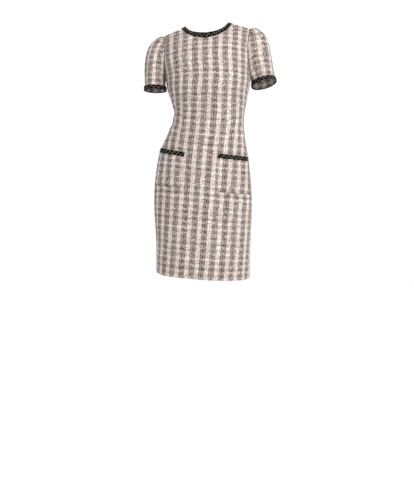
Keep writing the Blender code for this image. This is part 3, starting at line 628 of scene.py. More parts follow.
def smoothed(values, times):
    """Evens out a grid of numbers between its neighbours."""
    for _ in range(times):
        wide = np.pad(values, 1, mode="edge")
        beside = wide[:-2, 1:-1] + wide[2:, 1:-1] + wide[1:-1, :-2] + wide[1:-1, 2:]
        values = (4 * values + beside) / 8
    return values


def sleeve_coordinates(points, normals, rising, start):
    """Places on a sleeve's flat cloth, added up round the hem and then up each column."""
    up, across = cloth_frame(normals, rising)
    rows, columns = points.shape[:2]
    u = np.zeros((rows, columns))
    v = np.zeros((rows, columns))
    v[-1] = np.sum((points[-1] - points[-1, start]) * rising[-1], axis=-1)
    for direction in (1, -1):
        column = start + direction
        while 0 <= column < columns:
            step = points[-1, column] - points[-1, column - direction]
            mean_across = (across[-1, column] + across[-1, column - direction]) / 2
            u[-1, column] = u[-1, column - direction] + np.sum(step * mean_across)
            column += direction
    for row in range(rows - 2, -1, -1):
        step = points[row] - points[row + 1]
        u[row] = u[row + 1] + np.sum(step * (across[row] + across[row + 1]) / 2, axis=-1)
        v[row] = v[row + 1] + np.sum(step * (up[row] + up[row + 1]) / 2, axis=-1)
    return u, v


def edge_distances(points, columns_closed):
    """Each point's distance from the grid's left, right, first and last edges."""
    along = np.linalg.norm(np.diff(points, axis=1), axis=-1)
    left = np.concatenate([np.zeros((points.shape[0], 1)), np.cumsum(along, axis=1)], axis=1)
    right = left[:, -1:] - left
    rise = np.linalg.norm(np.diff(points, axis=0), axis=-1)
    first = np.concatenate([np.zeros((1, points.shape[1])), np.cumsum(rise, axis=0)], axis=0)
    last = first[-1:] - first
    if columns_closed:
        left = right = np.full_like(left, 1.0)
    return {"left": left, "right": right, "first": first, "last": last}


def finer(values, splits, first_edge=(), last_edge=()):
    """Splits a run of values evenly, with extra ones near its ends."""
    run = []
    for low, high in zip(values, values[1:]):
        count = splits(low) if callable(splits) else splits
        run += [low + (high - low) * step / count for step in range(count)]
    run.append(values[-1])
    run += [values[0] + step for step in first_edge]
    run += [values[-1] - step for step in last_edge]
    return sorted(set(round(value, 6) for value in run))


def beside(line, u, v):
    """How places lie to a line: share along it, distance above it, its sense and length."""
    along = np.array([line.u1 - line.u0, line.v1 - line.v0])
    length = np.linalg.norm(along)
    along = along / length
    du, dv = u - line.u0, v - line.v0
    share = (du * along[0] + dv * along[1]) / length
    return share, dv * along[0] - du * along[1], np.sign(along[0]), length


Crease = namedtuple("Crease", "u0 v0 u1 v1 width depth")


def crease_heights(creases, u, v):
    """How far the listed creases move the cloth out: a trough beside a lower ridge."""
    height = np.zeros_like(u)
    for crease in creases:
        share, above, _, length = beside(crease, u, v)
        bow = crease.width * 0.6 * np.sin(np.pi * np.clip(share, 0.0, 1.0))
        across = bow - above
        past = np.maximum(np.abs(share - 0.5) - 0.5, 0.0) * length / crease.width
        fade = np.sin(np.pi * np.clip(share, 0.02, 0.98)) ** 0.8 * np.exp(-(past**2))
        trough = np.exp(-((across / crease.width) ** 2))
        ridge = np.exp(-(((across - 1.7 * crease.width) / (1.1 * crease.width)) ** 2))
        height += crease.depth * fade * (0.55 * ridge - trough)
    return height


EDGE_ROUND = 1.5 * MM
HEM_ROUND = 1.0 * MM
LEAST_CLOTH = 0.35 * MM


def rounding(distance, radius=EDGE_ROUND):
    """How far a rounded edge of the cloth sinks at a distance from the edge."""
    near = np.clip(1 - distance / radius, 0.0, 1.0)
    return radius * (1 - np.sqrt(np.maximum(0.0, 1 - near**2)))


def seam_dip(distance, depth=0.7 * MM, width=4.0 * MM):
    """The shallow valley that a pressed seam leaves in thick cloth."""
    return depth * np.exp(-((distance / width) ** 2))


def shell(name, points, normals, uv, thickness, closed, sinks):
    """A closed shell of cloth between an outer grid of points and its inner copy.

    sinks is how far the outer side sinks at each point, at rounded edges and seams.
    """
    outer = points - normals * sinks[..., None]
    inner = points - normals * thickness
    rows, columns = points.shape[:2]
    ring = columns - 1 if closed else columns
    vertices = np.concatenate([outer[:, :ring].reshape(-1, 3), inner[:, :ring].reshape(-1, 3)])
    half = rows * ring
    u, v = uv
    faces = []
    corners = []

    def add(quad):
        faces.append([(r * ring + c % ring) + (0 if side == 0 else half) for side, r, c in quad])
        corners.extend((u[r, c], v[r, c]) for _, r, c in quad)

    for r in range(rows - 1):
        for c in range(columns - 1):
            add(((0, r, c), (0, r, c + 1), (0, r + 1, c + 1), (0, r + 1, c)))
            add(((1, r, c), (1, r + 1, c), (1, r + 1, c + 1), (1, r, c + 1)))
    for c in range(columns - 1):
        add(((0, 0, c + 1), (0, 0, c), (1, 0, c), (1, 0, c + 1)))
        add(((0, rows - 1, c), (0, rows - 1, c + 1), (1, rows - 1, c + 1), (1, rows - 1, c)))
    if not closed:
        for r in range(rows - 1):
            add(((0, r, 0), (0, r + 1, 0), (1, r + 1, 0), (1, r, 0)))
            last = columns - 1
            add(((0, r + 1, last), (0, r, last), (1, r, last), (1, r + 1, last)))
    return mesh_piece(name, vertices, faces, corners)


def mesh_piece(name, vertices, faces, corners=None):
    """Links a smooth mesh object, with each corner's place on the cloth or strand."""
    mesh = bpy.data.meshes.new(name)
    mesh.from_pydata([tuple(point) for point in vertices], [], faces)
    if corners is not None:
        layer = mesh.uv_layers.new(name="cloth")
        layer.data.foreach_set("uv", np.asarray(corners, dtype=np.float32).ravel())
    mesh.polygons.foreach_set("use_smooth", [True] * len(mesh.polygons))
    mesh.update()
    piece = bpy.data.objects.new(name, mesh)
    bpy.context.scene.collection.objects.link(piece)
    return piece


# ================================================================ the flat cloth's check

WARP_REPEAT = 0.0362
WEFT_REPEAT = 0.0212

# How far the grain strays from the front's centre line, by level of the upright dress
Drift = namedtuple("Drift", "level across")
GRAIN_DRIFT = (
    Drift(-0.920, -0.0340),
    Drift(-0.773, -0.0215),
    Drift(-0.646, -0.0108),
    Drift(-0.528, -0.0050),
    Drift(-0.354, -0.0020),
    Drift(-0.111, -0.0025),
    Drift(0.020, -0.0025),
)

# Light weft bands counted up from the hem, by the length of cloth above it
Count = namedtuple("Count", "above_hem bands")
WEFT_COUNTS = (
    Count(-0.0500, -3.59),
    Count(0.0261, 0.0),
    Count(0.2593, 11.0),
    Count(0.4631, 20.0),
    Count(0.8541, 38.0),
    Count(1.0000, 44.7),
)


def with_grain(u, v, levels, drift_sign=1.0):
    """Turns lengths across and up the cloth into places in the check."""
    drift = np.interp(levels, *zip(*GRAIN_DRIFT))
    bands = np.interp(v, *zip(*WEFT_COUNTS))
    return u - drift * drift_sign, bands * WEFT_REPEAT


# ================================================================ body panels

COLUMN_SPLIT = 5
EDGE_STEPS = (0.4 * MM, 0.9 * MM, 1.5 * MM, 2.6 * MM, 4.5 * MM)
CENTRE_COLUMN_WIDTH = POCKET_INNER / POCKET_INNER_COLUMN


def row_splits(row):
    """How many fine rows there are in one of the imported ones."""
    count = 6 if row < SKIRT_ROWS else 3
    return count


def panel_rows():
    """The fine rows of a panel, closer near the hem and the neck."""
    hem_row = row_level(1) - row_level(0)
    low = [step / hem_row for step in EDGE_STEPS]
    high = [step / NECK_BRAID_WIDTH for step in EDGE_STEPS]
    return finer(list(range(TOP_ROW + 1)), row_splits, low, high)


def panel_columns(first, last):
    """The fine columns of a panel, closer near its side edges."""
    edges = []
    for end in (first, last):
        width = SIDE_MARGIN if abs(end) == SIDE_COLUMN else CENTRE_COLUMN_WIDTH
        edges.append([step / width for step in EDGE_STEPS])
    return finer(list(range(first, last + 1)), COLUMN_SPLIT, *edges)


# Creases, listed by the cloth's own places: across from the centre line, up from
# the hem, to the other end, then half width and depth
FRONT_CREASES = (
    Crease(-0.185, 0.585, -0.105, 0.560, 0.0065, 0.0016),
    Crease(-0.190, 0.545, -0.085, 0.535, 0.0080, 0.0020),
    Crease(-0.195, 0.500, -0.110, 0.512, 0.0070, 0.0015),
    Crease(0.190, 0.560, 0.110, 0.545, 0.0070, 0.0014),
    Crease(0.195, 0.520, 0.120, 0.522, 0.0080, 0.0013),
    Crease(-0.150, 0.745, -0.085, 0.700, 0.0080, 0.0018),
    Crease(0.150, 0.745, 0.090, 0.695, 0.0085, 0.0017),
    Crease(-0.132, 0.800, -0.100, 0.745, 0.0070, 0.0012),
    Crease(0.134, 0.805, 0.105, 0.745, 0.0070, 0.0013),
    Crease(-0.060, 0.395, 0.055, 0.388, 0.0110, 0.0011),
    Crease(-0.060, 0.300, -0.050, 0.120, 0.0130, 0.0012),
    Crease(0.075, 0.255, 0.082, 0.060, 0.0140, 0.0013),
)
BACK_CREASES = (
    Crease(-0.120, 0.590, 0.020, 0.575, 0.0080, 0.0021),
    Crease(-0.020, 0.548, 0.130, 0.560, 0.0085, 0.0024),
    Crease(-0.140, 0.522, -0.030, 0.530, 0.0075, 0.0018),
    Crease(0.030, 0.498, 0.150, 0.510, 0.0080, 0.0016),
    Crease(-0.170, 0.480, -0.110, 0.470, 0.0070, 0.0014),
    Crease(-0.135, 0.760, -0.070, 0.690, 0.0090, 0.0016),
    Crease(0.135, 0.760, 0.075, 0.685, 0.0090, 0.0017),
    Crease(-0.090, 0.290, -0.095, 0.080, 0.0130, 0.0014),
    Crease(0.080, 0.310, 0.100, 0.060, 0.0120, 0.0012),
)

# Darts, as seams from a panel's edge: French darts in front, waist darts behind
Dart = namedtuple("Dart", "u0 v0 u1 v1")
FRONT_DARTS = (Dart(-0.172, 0.566, -0.088, 0.652), Dart(0.172, 0.566, 0.090, 0.654))
BACK_DARTS = (Dart(-0.072, 0.440, -0.072, 0.690), Dart(0.072, 0.440, 0.072, 0.690))
DART_INTAKE = 22.0 * MM
DART_REACH = 90.0 * MM
DART_DEPTH = 1.3 * MM
DART_WIDTH = 1.6 * MM


def dart_sink(darts, u, v):
    """The narrow valley of a dart's seam, which fades out at its point."""
    sink = np.zeros_like(u)
    for dart in darts:
        share, above, _, length = beside(dart, u, v)
        inside = np.clip(share, 0.0, 1.0)
        gap = np.hypot(above, (share - inside) * length)
        fade = np.minimum(1.0, (1 - inside) * 5)
        sink += (seam_dip(gap, DART_DEPTH, DART_WIDTH) + seam_dip(gap)) * fade
    return sink


def dart_kink(darts, u, v):
    """How far a dart has pulled the check up below its seam, most at the side seam."""
    shift = np.zeros_like(v)
    for dart in darts:
        share, above, sense, _ = beside(dart, u, v)
        below = -above * sense
        open_part = np.clip(1 - share, 0.0, 1.0) * (np.abs(u) > abs(dart.u1))
        shift += DART_INTAKE * open_part * (below > 0) * np.exp(-((below / DART_REACH) ** 2))
    return shift


def body_grid(facing, columns, rows):
    """Points of the cloth as it stands, its upright points and its levels."""
    stood = np.empty((len(rows), len(columns), 3))
    plain = np.empty_like(stood)
    for r, row in enumerate(rows):
        for c, column in enumerate(columns):
            point = upright(facing, column, row)
            plain[r, c] = point
            stood[r, c] = stand(point)
    return stood, plain


def body_places(facing, plain, start):
    """The flat cloth's places for a grid of the upright dress."""
    normals = grid_normals(plain, False)
    rising = np.zeros_like(plain)
    rising[..., 2] = 1.0
    rising[..., 1] = -facing * np.clip(normals[..., 2], 0.0, 1.0)
    return cloth_coordinates(plain, normals, rising, start)


def body_panel(name, facing, first, last, creases, darts):
    """A body panel: its grid, its creases and darts, and its rounded seam edges."""
    rows = panel_rows()
    columns = panel_columns(first, last)
    if facing > 0:
        columns = columns[::-1]
    stood, plain = body_grid(facing, columns, rows)
    u, v = body_places(facing, plain, columns.index(0))
    normals = grid_normals(stood, False)
    stood = stood + normals * crease_heights(creases, u, v)[..., None]
    normals = grid_normals(stood, False)
    edges = edge_distances(stood, False)
    sinks = dart_sink(darts, u, v)
    for side in ("left", "right"):
        sinks += rounding(edges[side]) + seam_dip(edges[side])
    shoulder = np.abs(np.array(columns))[None, :] >= NECK_COLUMN
    sinks += np.where(shoulder, rounding(edges["last"]) + seam_dip(edges["last"]), 0.0)
    sinks += rounding(edges["first"], HEM_ROUND)
    sinks = np.minimum(sinks, CLOTH - LEAST_CLOTH)
    kinked = v - dart_kink(darts, u, v) if facing < 0 else v
    places = with_grain(u, kinked, plain[..., 2], 1.0 if facing < 0 else -1.0)
    for column, near in ((0, 1), (-1, -2)):
        inward = unit(stood[:, near] - stood[:, column])
        stood[:, column] = stood[:, column] + inward * (0.5 * SEAM)
    piece = shell(name, stood, normals, places, CLOTH, False, sinks)
    return piece, {"columns": columns, "rows": rows, "u": places[0], "v": places[1]}


# ================================================================ sleeves


def spline_upsample(values, splits, closed):
    """A smooth curve through rows of values, with each step split evenly."""
    count = len(values)
    out = []
    last = count if closed else count - 1
    for index in range(last):
        p0 = values[(index - 1) % count] if closed or index > 0 else 2 * values[0] - values[1]
        p1, p2 = values[index], values[(index + 1) % count]
        if closed or index + 2 < count:
            p3 = values[(index + 2) % count]
        else:
            p3 = 2 * values[-1] - values[-2]
        for step in range(splits):
            out.append(hermite(p1, (p2 - p0) / 2, p2, (p3 - p1) / 2, step / splits))
    out.append(values[0] if closed else values[-1])
    return np.array(out)


SLEEVE_CREASES = {
    "left": (
        Crease(0.060, 0.060, 0.125, 0.085, 0.0060, 0.0020),
        Crease(0.070, 0.100, 0.135, 0.120, 0.0065, 0.0022),
        Crease(-0.060, 0.050, -0.120, 0.075, 0.0060, 0.0018),
        Crease(-0.075, 0.095, -0.135, 0.115, 0.0065, 0.0020),
        Crease(0.012, 0.130, 0.020, 0.030, 0.0110, 0.0016),
        Crease(-0.040, 0.120, -0.030, 0.020, 0.0100, 0.0014),
    ),
    "right": (
        Crease(0.060, 0.060, 0.125, 0.090, 0.0060, 0.0020),
        Crease(0.068, 0.105, 0.130, 0.128, 0.0065, 0.0023),
        Crease(-0.060, 0.055, -0.120, 0.080, 0.0060, 0.0018),
        Crease(-0.070, 0.100, -0.135, 0.122, 0.0065, 0.0021),
        Crease(0.030, 0.135, 0.042, 0.030, 0.0110, 0.0018),
        Crease(-0.026, 0.140, -0.020, 0.040, 0.0110, 0.0015),
    ),
}

# Pleats over the sleeve head, which stand up on one side of a sharp step
PLEAT_RIDGE = 11.0 * MM
PLEAT_TROUGH = 4.5 * MM
PLEAT_STEP = 0.8 * MM
PLEAT_SINK = 1.5
Pleat = namedtuple("Pleat", "u0 v0 u1 v1 rise")
SLEEVE_PLEATS = {
    "left": (
        Pleat(0.080, 0.1895, 0.026, 0.1560, 4.4 * MM),
        Pleat(-0.078, 0.1900, -0.030, 0.1580, 3.0 * MM),
    ),
    "right": (
        Pleat(-0.091, 0.1850, -0.044, 0.1530, 4.4 * MM),
        Pleat(0.084, 0.1880, 0.036, 0.1560, 3.0 * MM),
    ),
}


def pleat_heights(pleats, u, v):
    """How far the pleats move the cloth: up above each fold and in just below it."""
    height = np.zeros_like(u)
    for pleat in pleats:
        share, above, sense, _ = beside(pleat, u, v)
        above = above * sense
        past = np.maximum(share - 0.75, 0.0) / 0.25
        fade = np.exp(-(past**2)) * (share > -0.4)
        raised = np.exp(-((above / PLEAT_RIDGE) ** 2))
        sunk = -PLEAT_SINK * np.exp(-((above / PLEAT_TROUGH) ** 2))
        blend = np.clip(above / PLEAT_STEP * 0.5 + 0.5, 0.0, 1.0)
        height += pleat.rise * fade * (sunk + (raised - sunk) * blend)
    return height


SLEEVE_ROUND_SPLIT = 4
SLEEVE_LONG_SPLIT = 10


def fine_sleeve(sleeve):
    """The sleeve's fine points, their outward directions and their cloth places."""
    grid, top = sleeve_grid(sleeve)
    places = np.array([[tuple(item[0]) + (item[1], item[2]) for item in row] for row in grid])
    around = spline_upsample(places.transpose(1, 0, 2), SLEEVE_ROUND_SPLIT, True)
    fine = spline_upsample(around.transpose(1, 0, 2), SLEEVE_LONG_SPLIT, False)
    top *= SLEEVE_ROUND_SPLIT
    points, along, distance = fine[..., :3], fine[..., 3], fine[..., 4]
    normals = grid_normals(points, True)
    centre = points[-1, :-1].mean(axis=0)
    if np.sum((points[-1, 0] - centre) * normals[-1, 0]) < 0:
        points, along, distance = points[:, ::-1], along[:, ::-1], distance[:, ::-1]
        top = points.shape[1] - 1 - top
        normals = grid_normals(points, True)
    down, _ = sleeve_axis(sleeve)
    rising = np.broadcast_to(-np.array(down), points.shape)
    u, v = (smoothed(values, 15) for values in sleeve_coordinates(points, normals, rising, top))
    rises = np.zeros_like(along)
    for index in np.ndindex(along.shape):
        if index[0] > 0:
            rises[index] = tuck_height(max(distance[index], 0.0), max(along[index], 0.0))
    points = points + normals * rises[..., None]
    normals = grid_normals(points, True)
    heights = crease_heights(SLEEVE_CREASES[sleeve.name], u, v)
    eased = np.minimum(1.0, 0.35 + along / 0.01)
    heights += pleat_heights(SLEEVE_PLEATS[sleeve.name], u, v) * eased
    points = points + normals * heights[..., None]
    return points, grid_normals(points, True), u, v


# How the check lies on each piece that is cut apart from the front
SLEEVE_SHIFT = {"left": (0.018, 0.004), "right": (0.018, 0.009)}
POCKET_SHIFT = {"left": (0.004, 0.000), "right": (0.0146, 0.000)}


def make_sleeve(sleeve):
    """A sleeve of cloth, and the two edges that its braid lies between."""
    points, normals, u, v = fine_sleeve(sleeve)
    edges = edge_distances(points, True)
    sinks = rounding(edges["first"]) + seam_dip(edges["first"])
    sinks = np.minimum(sinks + rounding(edges["last"], HEM_ROUND), CLOTH - LEAST_CLOTH)
    across, up = SLEEVE_SHIFT[sleeve.name]
    node = "sleeve_" + sleeve.name
    places = (u + across, v + up)
    piece = shell(node + "_cloth", points, normals, places, CLOTH, True, sinks)
    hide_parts(node)
    braid_row = len(points) - 1 - SLEEVE_LONG_SPLIT
    past_hem = np.array(sleeve_axis(sleeve)[0]) * CUFF_BRAID_PAST
    edges = []
    for row in (-1, braid_row):
        edges += [points[row, :-1] + past_hem, normals[row, :-1]]
    return piece, edges


# ================================================================ pockets


def pocket_place(pocket, column, level):
    """The row of the front under a pocket's point, as the pocket slopes up at its side."""
    share = (abs(column) - POCKET_INNER_COLUMN) / (POCKET_OUTER_COLUMN - POCKET_INNER_COLUMN)
    slope = (level - pocket.bottom) / (pocket.top - pocket.bottom)
    return row_at(level + pocket.side_rise * share * slope)


# The columns between which each pocket's braid runs
BRAID_REACH = {"left": (3.62, 11.2), "right": (3.8, 11.35)}
# How far the pocket's middle bulges, and over what distance from its edges
POCKET_EASE = 0.5 * MM
POCKET_EASE_REACH = 12.0 * MM
STITCH_INSET = 3.2 * MM
# What lies on the cloth stands this far off it
LIFT = SEAM + 0.1 * MM


def along_dress(places):
    """Points and outward directions at places on the dress."""
    points = np.array([on_dress(*place) for place in places])
    return points, np.array([outward(*place) for place in places])


def pocket_grid(pocket, front):
    """A pocket's points on the front, their outward directions and their cloth places."""
    splits = 5
    first, last = sorted((pocket.side * POCKET_INNER_COLUMN, pocket.side * POCKET_OUTER_COLUMN))
    width = (POCKET_OUTER - POCKET_INNER) / (POCKET_OUTER_COLUMN - POCKET_INNER_COLUMN)
    edge = [step / width for step in EDGE_STEPS]
    columns = finer(list(range(first, last + 1)), splits, edge, edge)
    height = pocket.top - pocket.bottom
    shares = finer([0.0, 1.0], 40, [step / height for step in EDGE_STEPS], ())
    points = np.empty((len(shares), len(columns), 3))
    aims = np.empty_like(points)
    u = np.empty(points.shape[:2])
    v = np.empty_like(u)
    rows = front["rows"]
    for r, share in enumerate(shares):
        level = pocket.bottom + height * share
        for c, column in enumerate(columns):
            row = pocket_place(pocket, column, level)
            points[r, c] = on_dress(-1, column, row)
            aims[r, c] = outward(-1, column, row)
            spot = min(np.searchsorted(rows, row), len(rows) - 1)
            blend = (row - rows[spot - 1]) / (rows[spot] - rows[spot - 1])
            for key, target in (("u", u), ("v", v)):
                low = np.interp(column, front["columns"], front[key][spot - 1])
                high = np.interp(column, front["columns"], front[key][spot])
                target[r, c] = low + (high - low) * blend
    return points, aims, u, v


def make_pocket(pocket, front):
    """A patch pocket with soft edges, and the lines of its stitches."""
    points, aims, u, v = pocket_grid(pocket, front)
    edges = edge_distances(points, False)
    sinks = sum(rounding(edges[side]) for side in ("left", "right", "first"))
    inside = np.minimum(np.minimum(edges["left"], edges["right"]), edges["first"])
    ease = POCKET_EASE * (1 - np.exp(-((inside / POCKET_EASE_REACH) ** 2)))
    outer = points + aims * (LIFT + POCKET_CLOTH + ease)[..., None]
    across, up = POCKET_SHIFT[pocket.name]
    sinks = np.minimum(sinks, POCKET_CLOTH - 0.3 * MM)
    node = "pocket_" + pocket.name
    places = (u + across, v + up)
    piece = shell(node + "_cloth", outer, aims, places, POCKET_CLOTH, False, sinks)
    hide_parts(node)
    return piece, stitch_lines(outer, aims, edges)


def pocket_mouth(pocket):
    """The two edges of the braid along a pocket's mouth, with their outward directions."""
    inner, outer = BRAID_REACH[pocket.name]
    columns = [pocket.side * (inner + (outer - inner) * step / 24) for step in range(25)]
    edges = []
    for level in (pocket.top - POCKET_BRAID_WIDTH, pocket.top):
        places = [(-1, column, pocket_place(pocket, column, level)) for column in columns]
        edges += along_dress(places)
    return edges


def stitch_lines(outer, aims, edges):
    """The three stitched sides of a pocket, as lines of points just inside its edges."""
    lines = []
    for key, axis in (("left", 1), ("first", 0), ("right", 1)):
        distances = edges[key]
        line, turned = [], []
        for index in range(distances.shape[0] if axis == 1 else distances.shape[1]):
            run = distances[index] if axis == 1 else distances[:, index]
            spot = int(np.argmin(np.abs(run - STITCH_INSET)))
            place = (index, spot) if axis == 1 else (spot, index)
            line.append(outer[place])
            turned.append(aims[place])
        lines.append((np.array(line), np.array(turned)))
    return lines


# ================================================================ braid


def resampled(line, step, closed=False):
    """Evenly spaced points along a line of rows of numbers, whose first three are places."""
    rows = np.concatenate([line, line[:1]]) if closed else line
    gaps = np.linalg.norm(np.diff(rows[:, :3], axis=0), axis=1)
    travelled = np.concatenate([[0.0], np.cumsum(gaps)])
    count = max(4, int(round(travelled[-1] / step)))
    goals = np.linspace(0.0, travelled[-1], count + 1)
    if closed:
        goals = goals[:-1]
    columns = [np.interp(goals, travelled, rows[:, index]) for index in range(rows.shape[1])]
    return np.stack(columns, axis=1), travelled[-1], goals


class Maker:
    """Collects the points and faces of one mesh, with a place on the strand for each."""

    def __init__(self):
        self.vertices, self.faces, self.places = [], [], []

    def tube(self, points, aims, along, width, height, sides=8, closed=False, cord=False):
        """A tube round a line, with an oval section or one of two plies twisted as a cord."""
        count = len(points)
        if closed:
            tangents = np.roll(points, -1, axis=0) - np.roll(points, 1, axis=0)
        else:
            tangents = np.gradient(points, axis=0)
        tangents = unit(tangents)
        across = unit(np.cross(tangents, aims))
        up = np.cross(across, tangents)
        start = len(self.vertices)
        for index in range(count):
            s = along[index]
            for side in range(sides):
                angle = 2 * math.pi * side / sides
                swell = 1 + (PLY_SWELL * math.cos(2 * angle - CORD_TWIST * s) if cord else 0.0)
                offset = across[index] * (math.cos(angle) * width * swell)
                offset = offset + up[index] * (math.sin(angle) * height * swell)
                self.vertices.append(points[index] + offset)
                self.places.append((s, side / sides))
        last = count if closed else count - 1
        for index in range(last):
            here, there = start + index * sides, start + (index + 1) % count * sides
            for side in range(sides):
                following = (side + 1) % sides
                self.faces.append([here + side, here + following, there + following, there + side])
        if not closed:
            self.faces.append([start + side for side in reversed(range(sides))])
            self.faces.append([start + (count - 1) * sides + side for side in range(sides)])

    def piece(self, name):
        """Links what was collected as a mesh object."""
        corners = []
        for face in self.faces:
            places = [self.places[index] for index in face]
            wraps = max(p[1] for p in places) - min(p[1] for p in places) > 0.5
            corners += [(s, t + 1 if wraps and t < 0.5 else t) for s, t in places]
        return mesh_piece(name, self.vertices, self.faces, corners)


CUFF_BRAID_PAST = 3.5 * MM
CORD_RADIUS = 1.15 * MM
CORD_TWIST = 2 * math.pi / (5.0 * MM) * 2
PLY_SWELL = 0.26
PLAIT_PITCH = 17.0 * MM
PLAIT_RADIUS = 1.25 * MM
RIBBON = 0.9 * MM


def make_braid(name, replaced, edges, lift, closed=False):
    """A braid along a band of cloth: a ribbon, a cord along each edge and a plait between.

    One strand of the plait has a metallic thread and is a piece of its own.
    """
    lower, lower_aims, upper, upper_aims = edges
    aims = unit(lower_aims + upper_aims)
    line = np.concatenate([(lower + upper) / 2, lower, upper, aims], axis=1)
    step = 1.1 * MM
    line, length, along = resampled(line, step, closed)
    low, high, aims = line[:, 3:6], line[:, 6:9], unit(line[:, 9:12])
    width = float(np.mean(np.linalg.norm(high - low, axis=1)))

    def track(share, height):
        share = np.asarray(share)[..., None] if np.ndim(share) else share
        height = np.asarray(height)[..., None] if np.ndim(height) else height
        return low + (high - low) * share + aims * (lift + height)

    dark = Maker()
    ribbon_half = width / 2 - 0.4 * MM
    dark.tube(track(0.5, RIBBON / 2), aims, along, ribbon_half, RIBBON / 2, 10, closed)
    inset = (CORD_RADIUS * 1.15 + 0.1 * MM) / width
    for share in (inset, 1 - inset):
        path = track(share, RIBBON + CORD_RADIUS * 0.75)
        dark.tube(path, aims, along, CORD_RADIUS, CORD_RADIUS, 10, closed, True)
    turns = max(1, round(length / PLAIT_PITCH))
    swing = 0.5 - inset - (CORD_RADIUS + PLAIT_RADIUS) * 0.85 / width
    glint = Maker()
    for strand in range(3):
        phase = 2 * math.pi * (along / length * turns + strand / 3)
        share = 0.5 + swing * np.sin(phase)
        height = RIBBON + PLAIT_RADIUS * 0.85 + 0.55 * MM * np.sin(2 * phase)
        maker = glint if strand == 0 else dark
        path = track(share, height)
        maker.tube(path, aims, along, PLAIT_RADIUS, PLAIT_RADIUS * 0.72, 8, closed, True)
    pieces = [dark.piece(name), glint.piece(name + "_glint")]
    for piece in pieces:
        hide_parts(replaced)
    return pieces


# How far the stiff neck braid laps the cloth, passes its edge and stands up from it
NECK_BRAID_BELOW = 1.5 * MM
NECK_BRAID_PAST = 1.5 * MM
NECK_BRAID_STAND = 3.0 * MM


def neck_edges():
    """The neck's two braid edges, all round from the zip, with their outward directions."""
    splits = 3
    lines = {"low": [], "high": []}

    def add(facing, column, shoulder=None):
        if shoulder is None:
            low, high = (on_dress(facing, column, row) for row in (BRAID_ROW, TOP_ROW))
            low_aim, high_aim = (outward(facing, column, row) for row in (BRAID_ROW, TOP_ROW))
        else:
            low = on_dress(-1, shoulder * (NECK_COLUMN + 1), TOP_ROW)
            high = on_dress(-1, shoulder * NECK_COLUMN, TOP_ROW)
            low_aim = outward(-1, shoulder * (NECK_COLUMN + 1), TOP_ROW)
            high_aim = outward(-1, shoulder * NECK_COLUMN, TOP_ROW)
        lines["low"].append((*low, *low_aim))
        lines["high"].append((*high, *high_aim))

    steps = [step / splits for step in range(splits * NECK_COLUMN + 1)]
    for column in steps:
        add(1, max(column, 1e-6))
    add(0, 0, shoulder=1)
    for column in reversed(steps):
        add(-1, column)
    for column in steps[1:]:
        add(-1, -column)
    add(0, 0, shoulder=-1)
    for column in reversed(steps):
        add(1, -max(column, 1e-6))
    low, high = np.array(lines["low"]), np.array(lines["high"])
    rise = unit(high[:, :3] - low[:, :3])
    low[:, :3] -= rise * NECK_BRAID_BELOW
    high[:, :3] += rise * NECK_BRAID_PAST
    high[:, 2] += NECK_BRAID_STAND
    for line in (low, high):
        line[0, :3] += unit(line[1, :3] - line[0, :3]) * NECK_PARTING / 2
        line[-1, :3] += unit(line[-2, :3] - line[-1, :3]) * NECK_PARTING / 2
    return low[:, :3], low[:, 3:], high[:, :3], high[:, 3:]


# ================================================================ sewing and zip


def stitches(maker, line, aims, pitch, length, radius):
    """A run of short stitches that stand a little out of the cloth."""
    rows, _, goals = resampled(np.concatenate([line, aims], axis=1), 0.5 * MM)
    step = goals[1] - goals[0]
    half = max(2, int(round(length / step / 2)))
    every = int(round(pitch / step))
    for middle in range(half + 2, len(rows) - half - 2, every):
        run = rows[middle - half : middle + half + 1]
        share = np.linspace(-1, 1, len(run))[:, None]
        points = run[:, :3] + run[:, 3:] * (radius * 1.2 * (1 - share**4) - radius * 0.6)
        along = goals[middle - half : middle + half + 1]
        maker.tube(points, run[:, 3:], along, radius, radius, 6)


SEAM_CORD = 1.0 * MM
SEAM_DEPTH = 2.1 * MM
ARMHOLE_CORD = 1.8 * MM
ARMHOLE_CORD_PAST = 0.9 * MM
CORD_STEP = 3.0 * MM
COIL_PITCH = 1.4 * MM
COIL_WIRE = 0.26 * MM


def seam_cords():
    """The turned-in cloth that closes each seam, as a line in the seam's valley."""
    maker = Maker()
    lines = []
    skirt_rows = [row / 2 for row in range(2 * SKIRT_ROWS + 1)]
    upper_rows = [SKIRT_ROWS + row / 2 for row in range(2 * (TOP_ROW - SKIRT_ROWS) + 1)]
    for side in (-1, 1):
        edge = side * SIDE_COLUMN
        lines.append([(-1, edge, row) for row in skirt_rows])
        ring = [(-1, edge, row) for row in upper_rows]
        ring += [(1, edge, row) for row in reversed(upper_rows)]
        points, aims = along_dress(ring)
        near = side * (SIDE_COLUMN - 0.25)
        inner = np.array([on_dress(facing, near, row) for facing, _, row in ring])
        path = points + unit(points - inner) * ARMHOLE_CORD_PAST - unit(aims) * SEAM_DEPTH
        rows, _, along = resampled(np.concatenate([path, aims], axis=1), CORD_STEP)
        maker.tube(rows[:, :3], unit(rows[:, 3:]), along, ARMHOLE_CORD, ARMHOLE_CORD)
        tops = range(NECK_COLUMN + 1, SIDE_COLUMN + 1)
        lines.append([(-1, side * column, TOP_ROW) for column in tops])
    zip_end = math.ceil(row_at(ZIP_END_LEVEL))
    lines.append([(1, 1e-9, row / 2) for row in range(2 * zip_end + 1)])
    for line in lines:
        rows, _, along = resampled(np.concatenate(along_dress(line), axis=1), CORD_STEP)
        path = rows[:, :3] - unit(rows[:, 3:]) * SEAM_DEPTH
        maker.tube(path, unit(rows[:, 3:]), along, SEAM_CORD, SEAM_CORD, 7)
    return maker.piece("seam_lines")


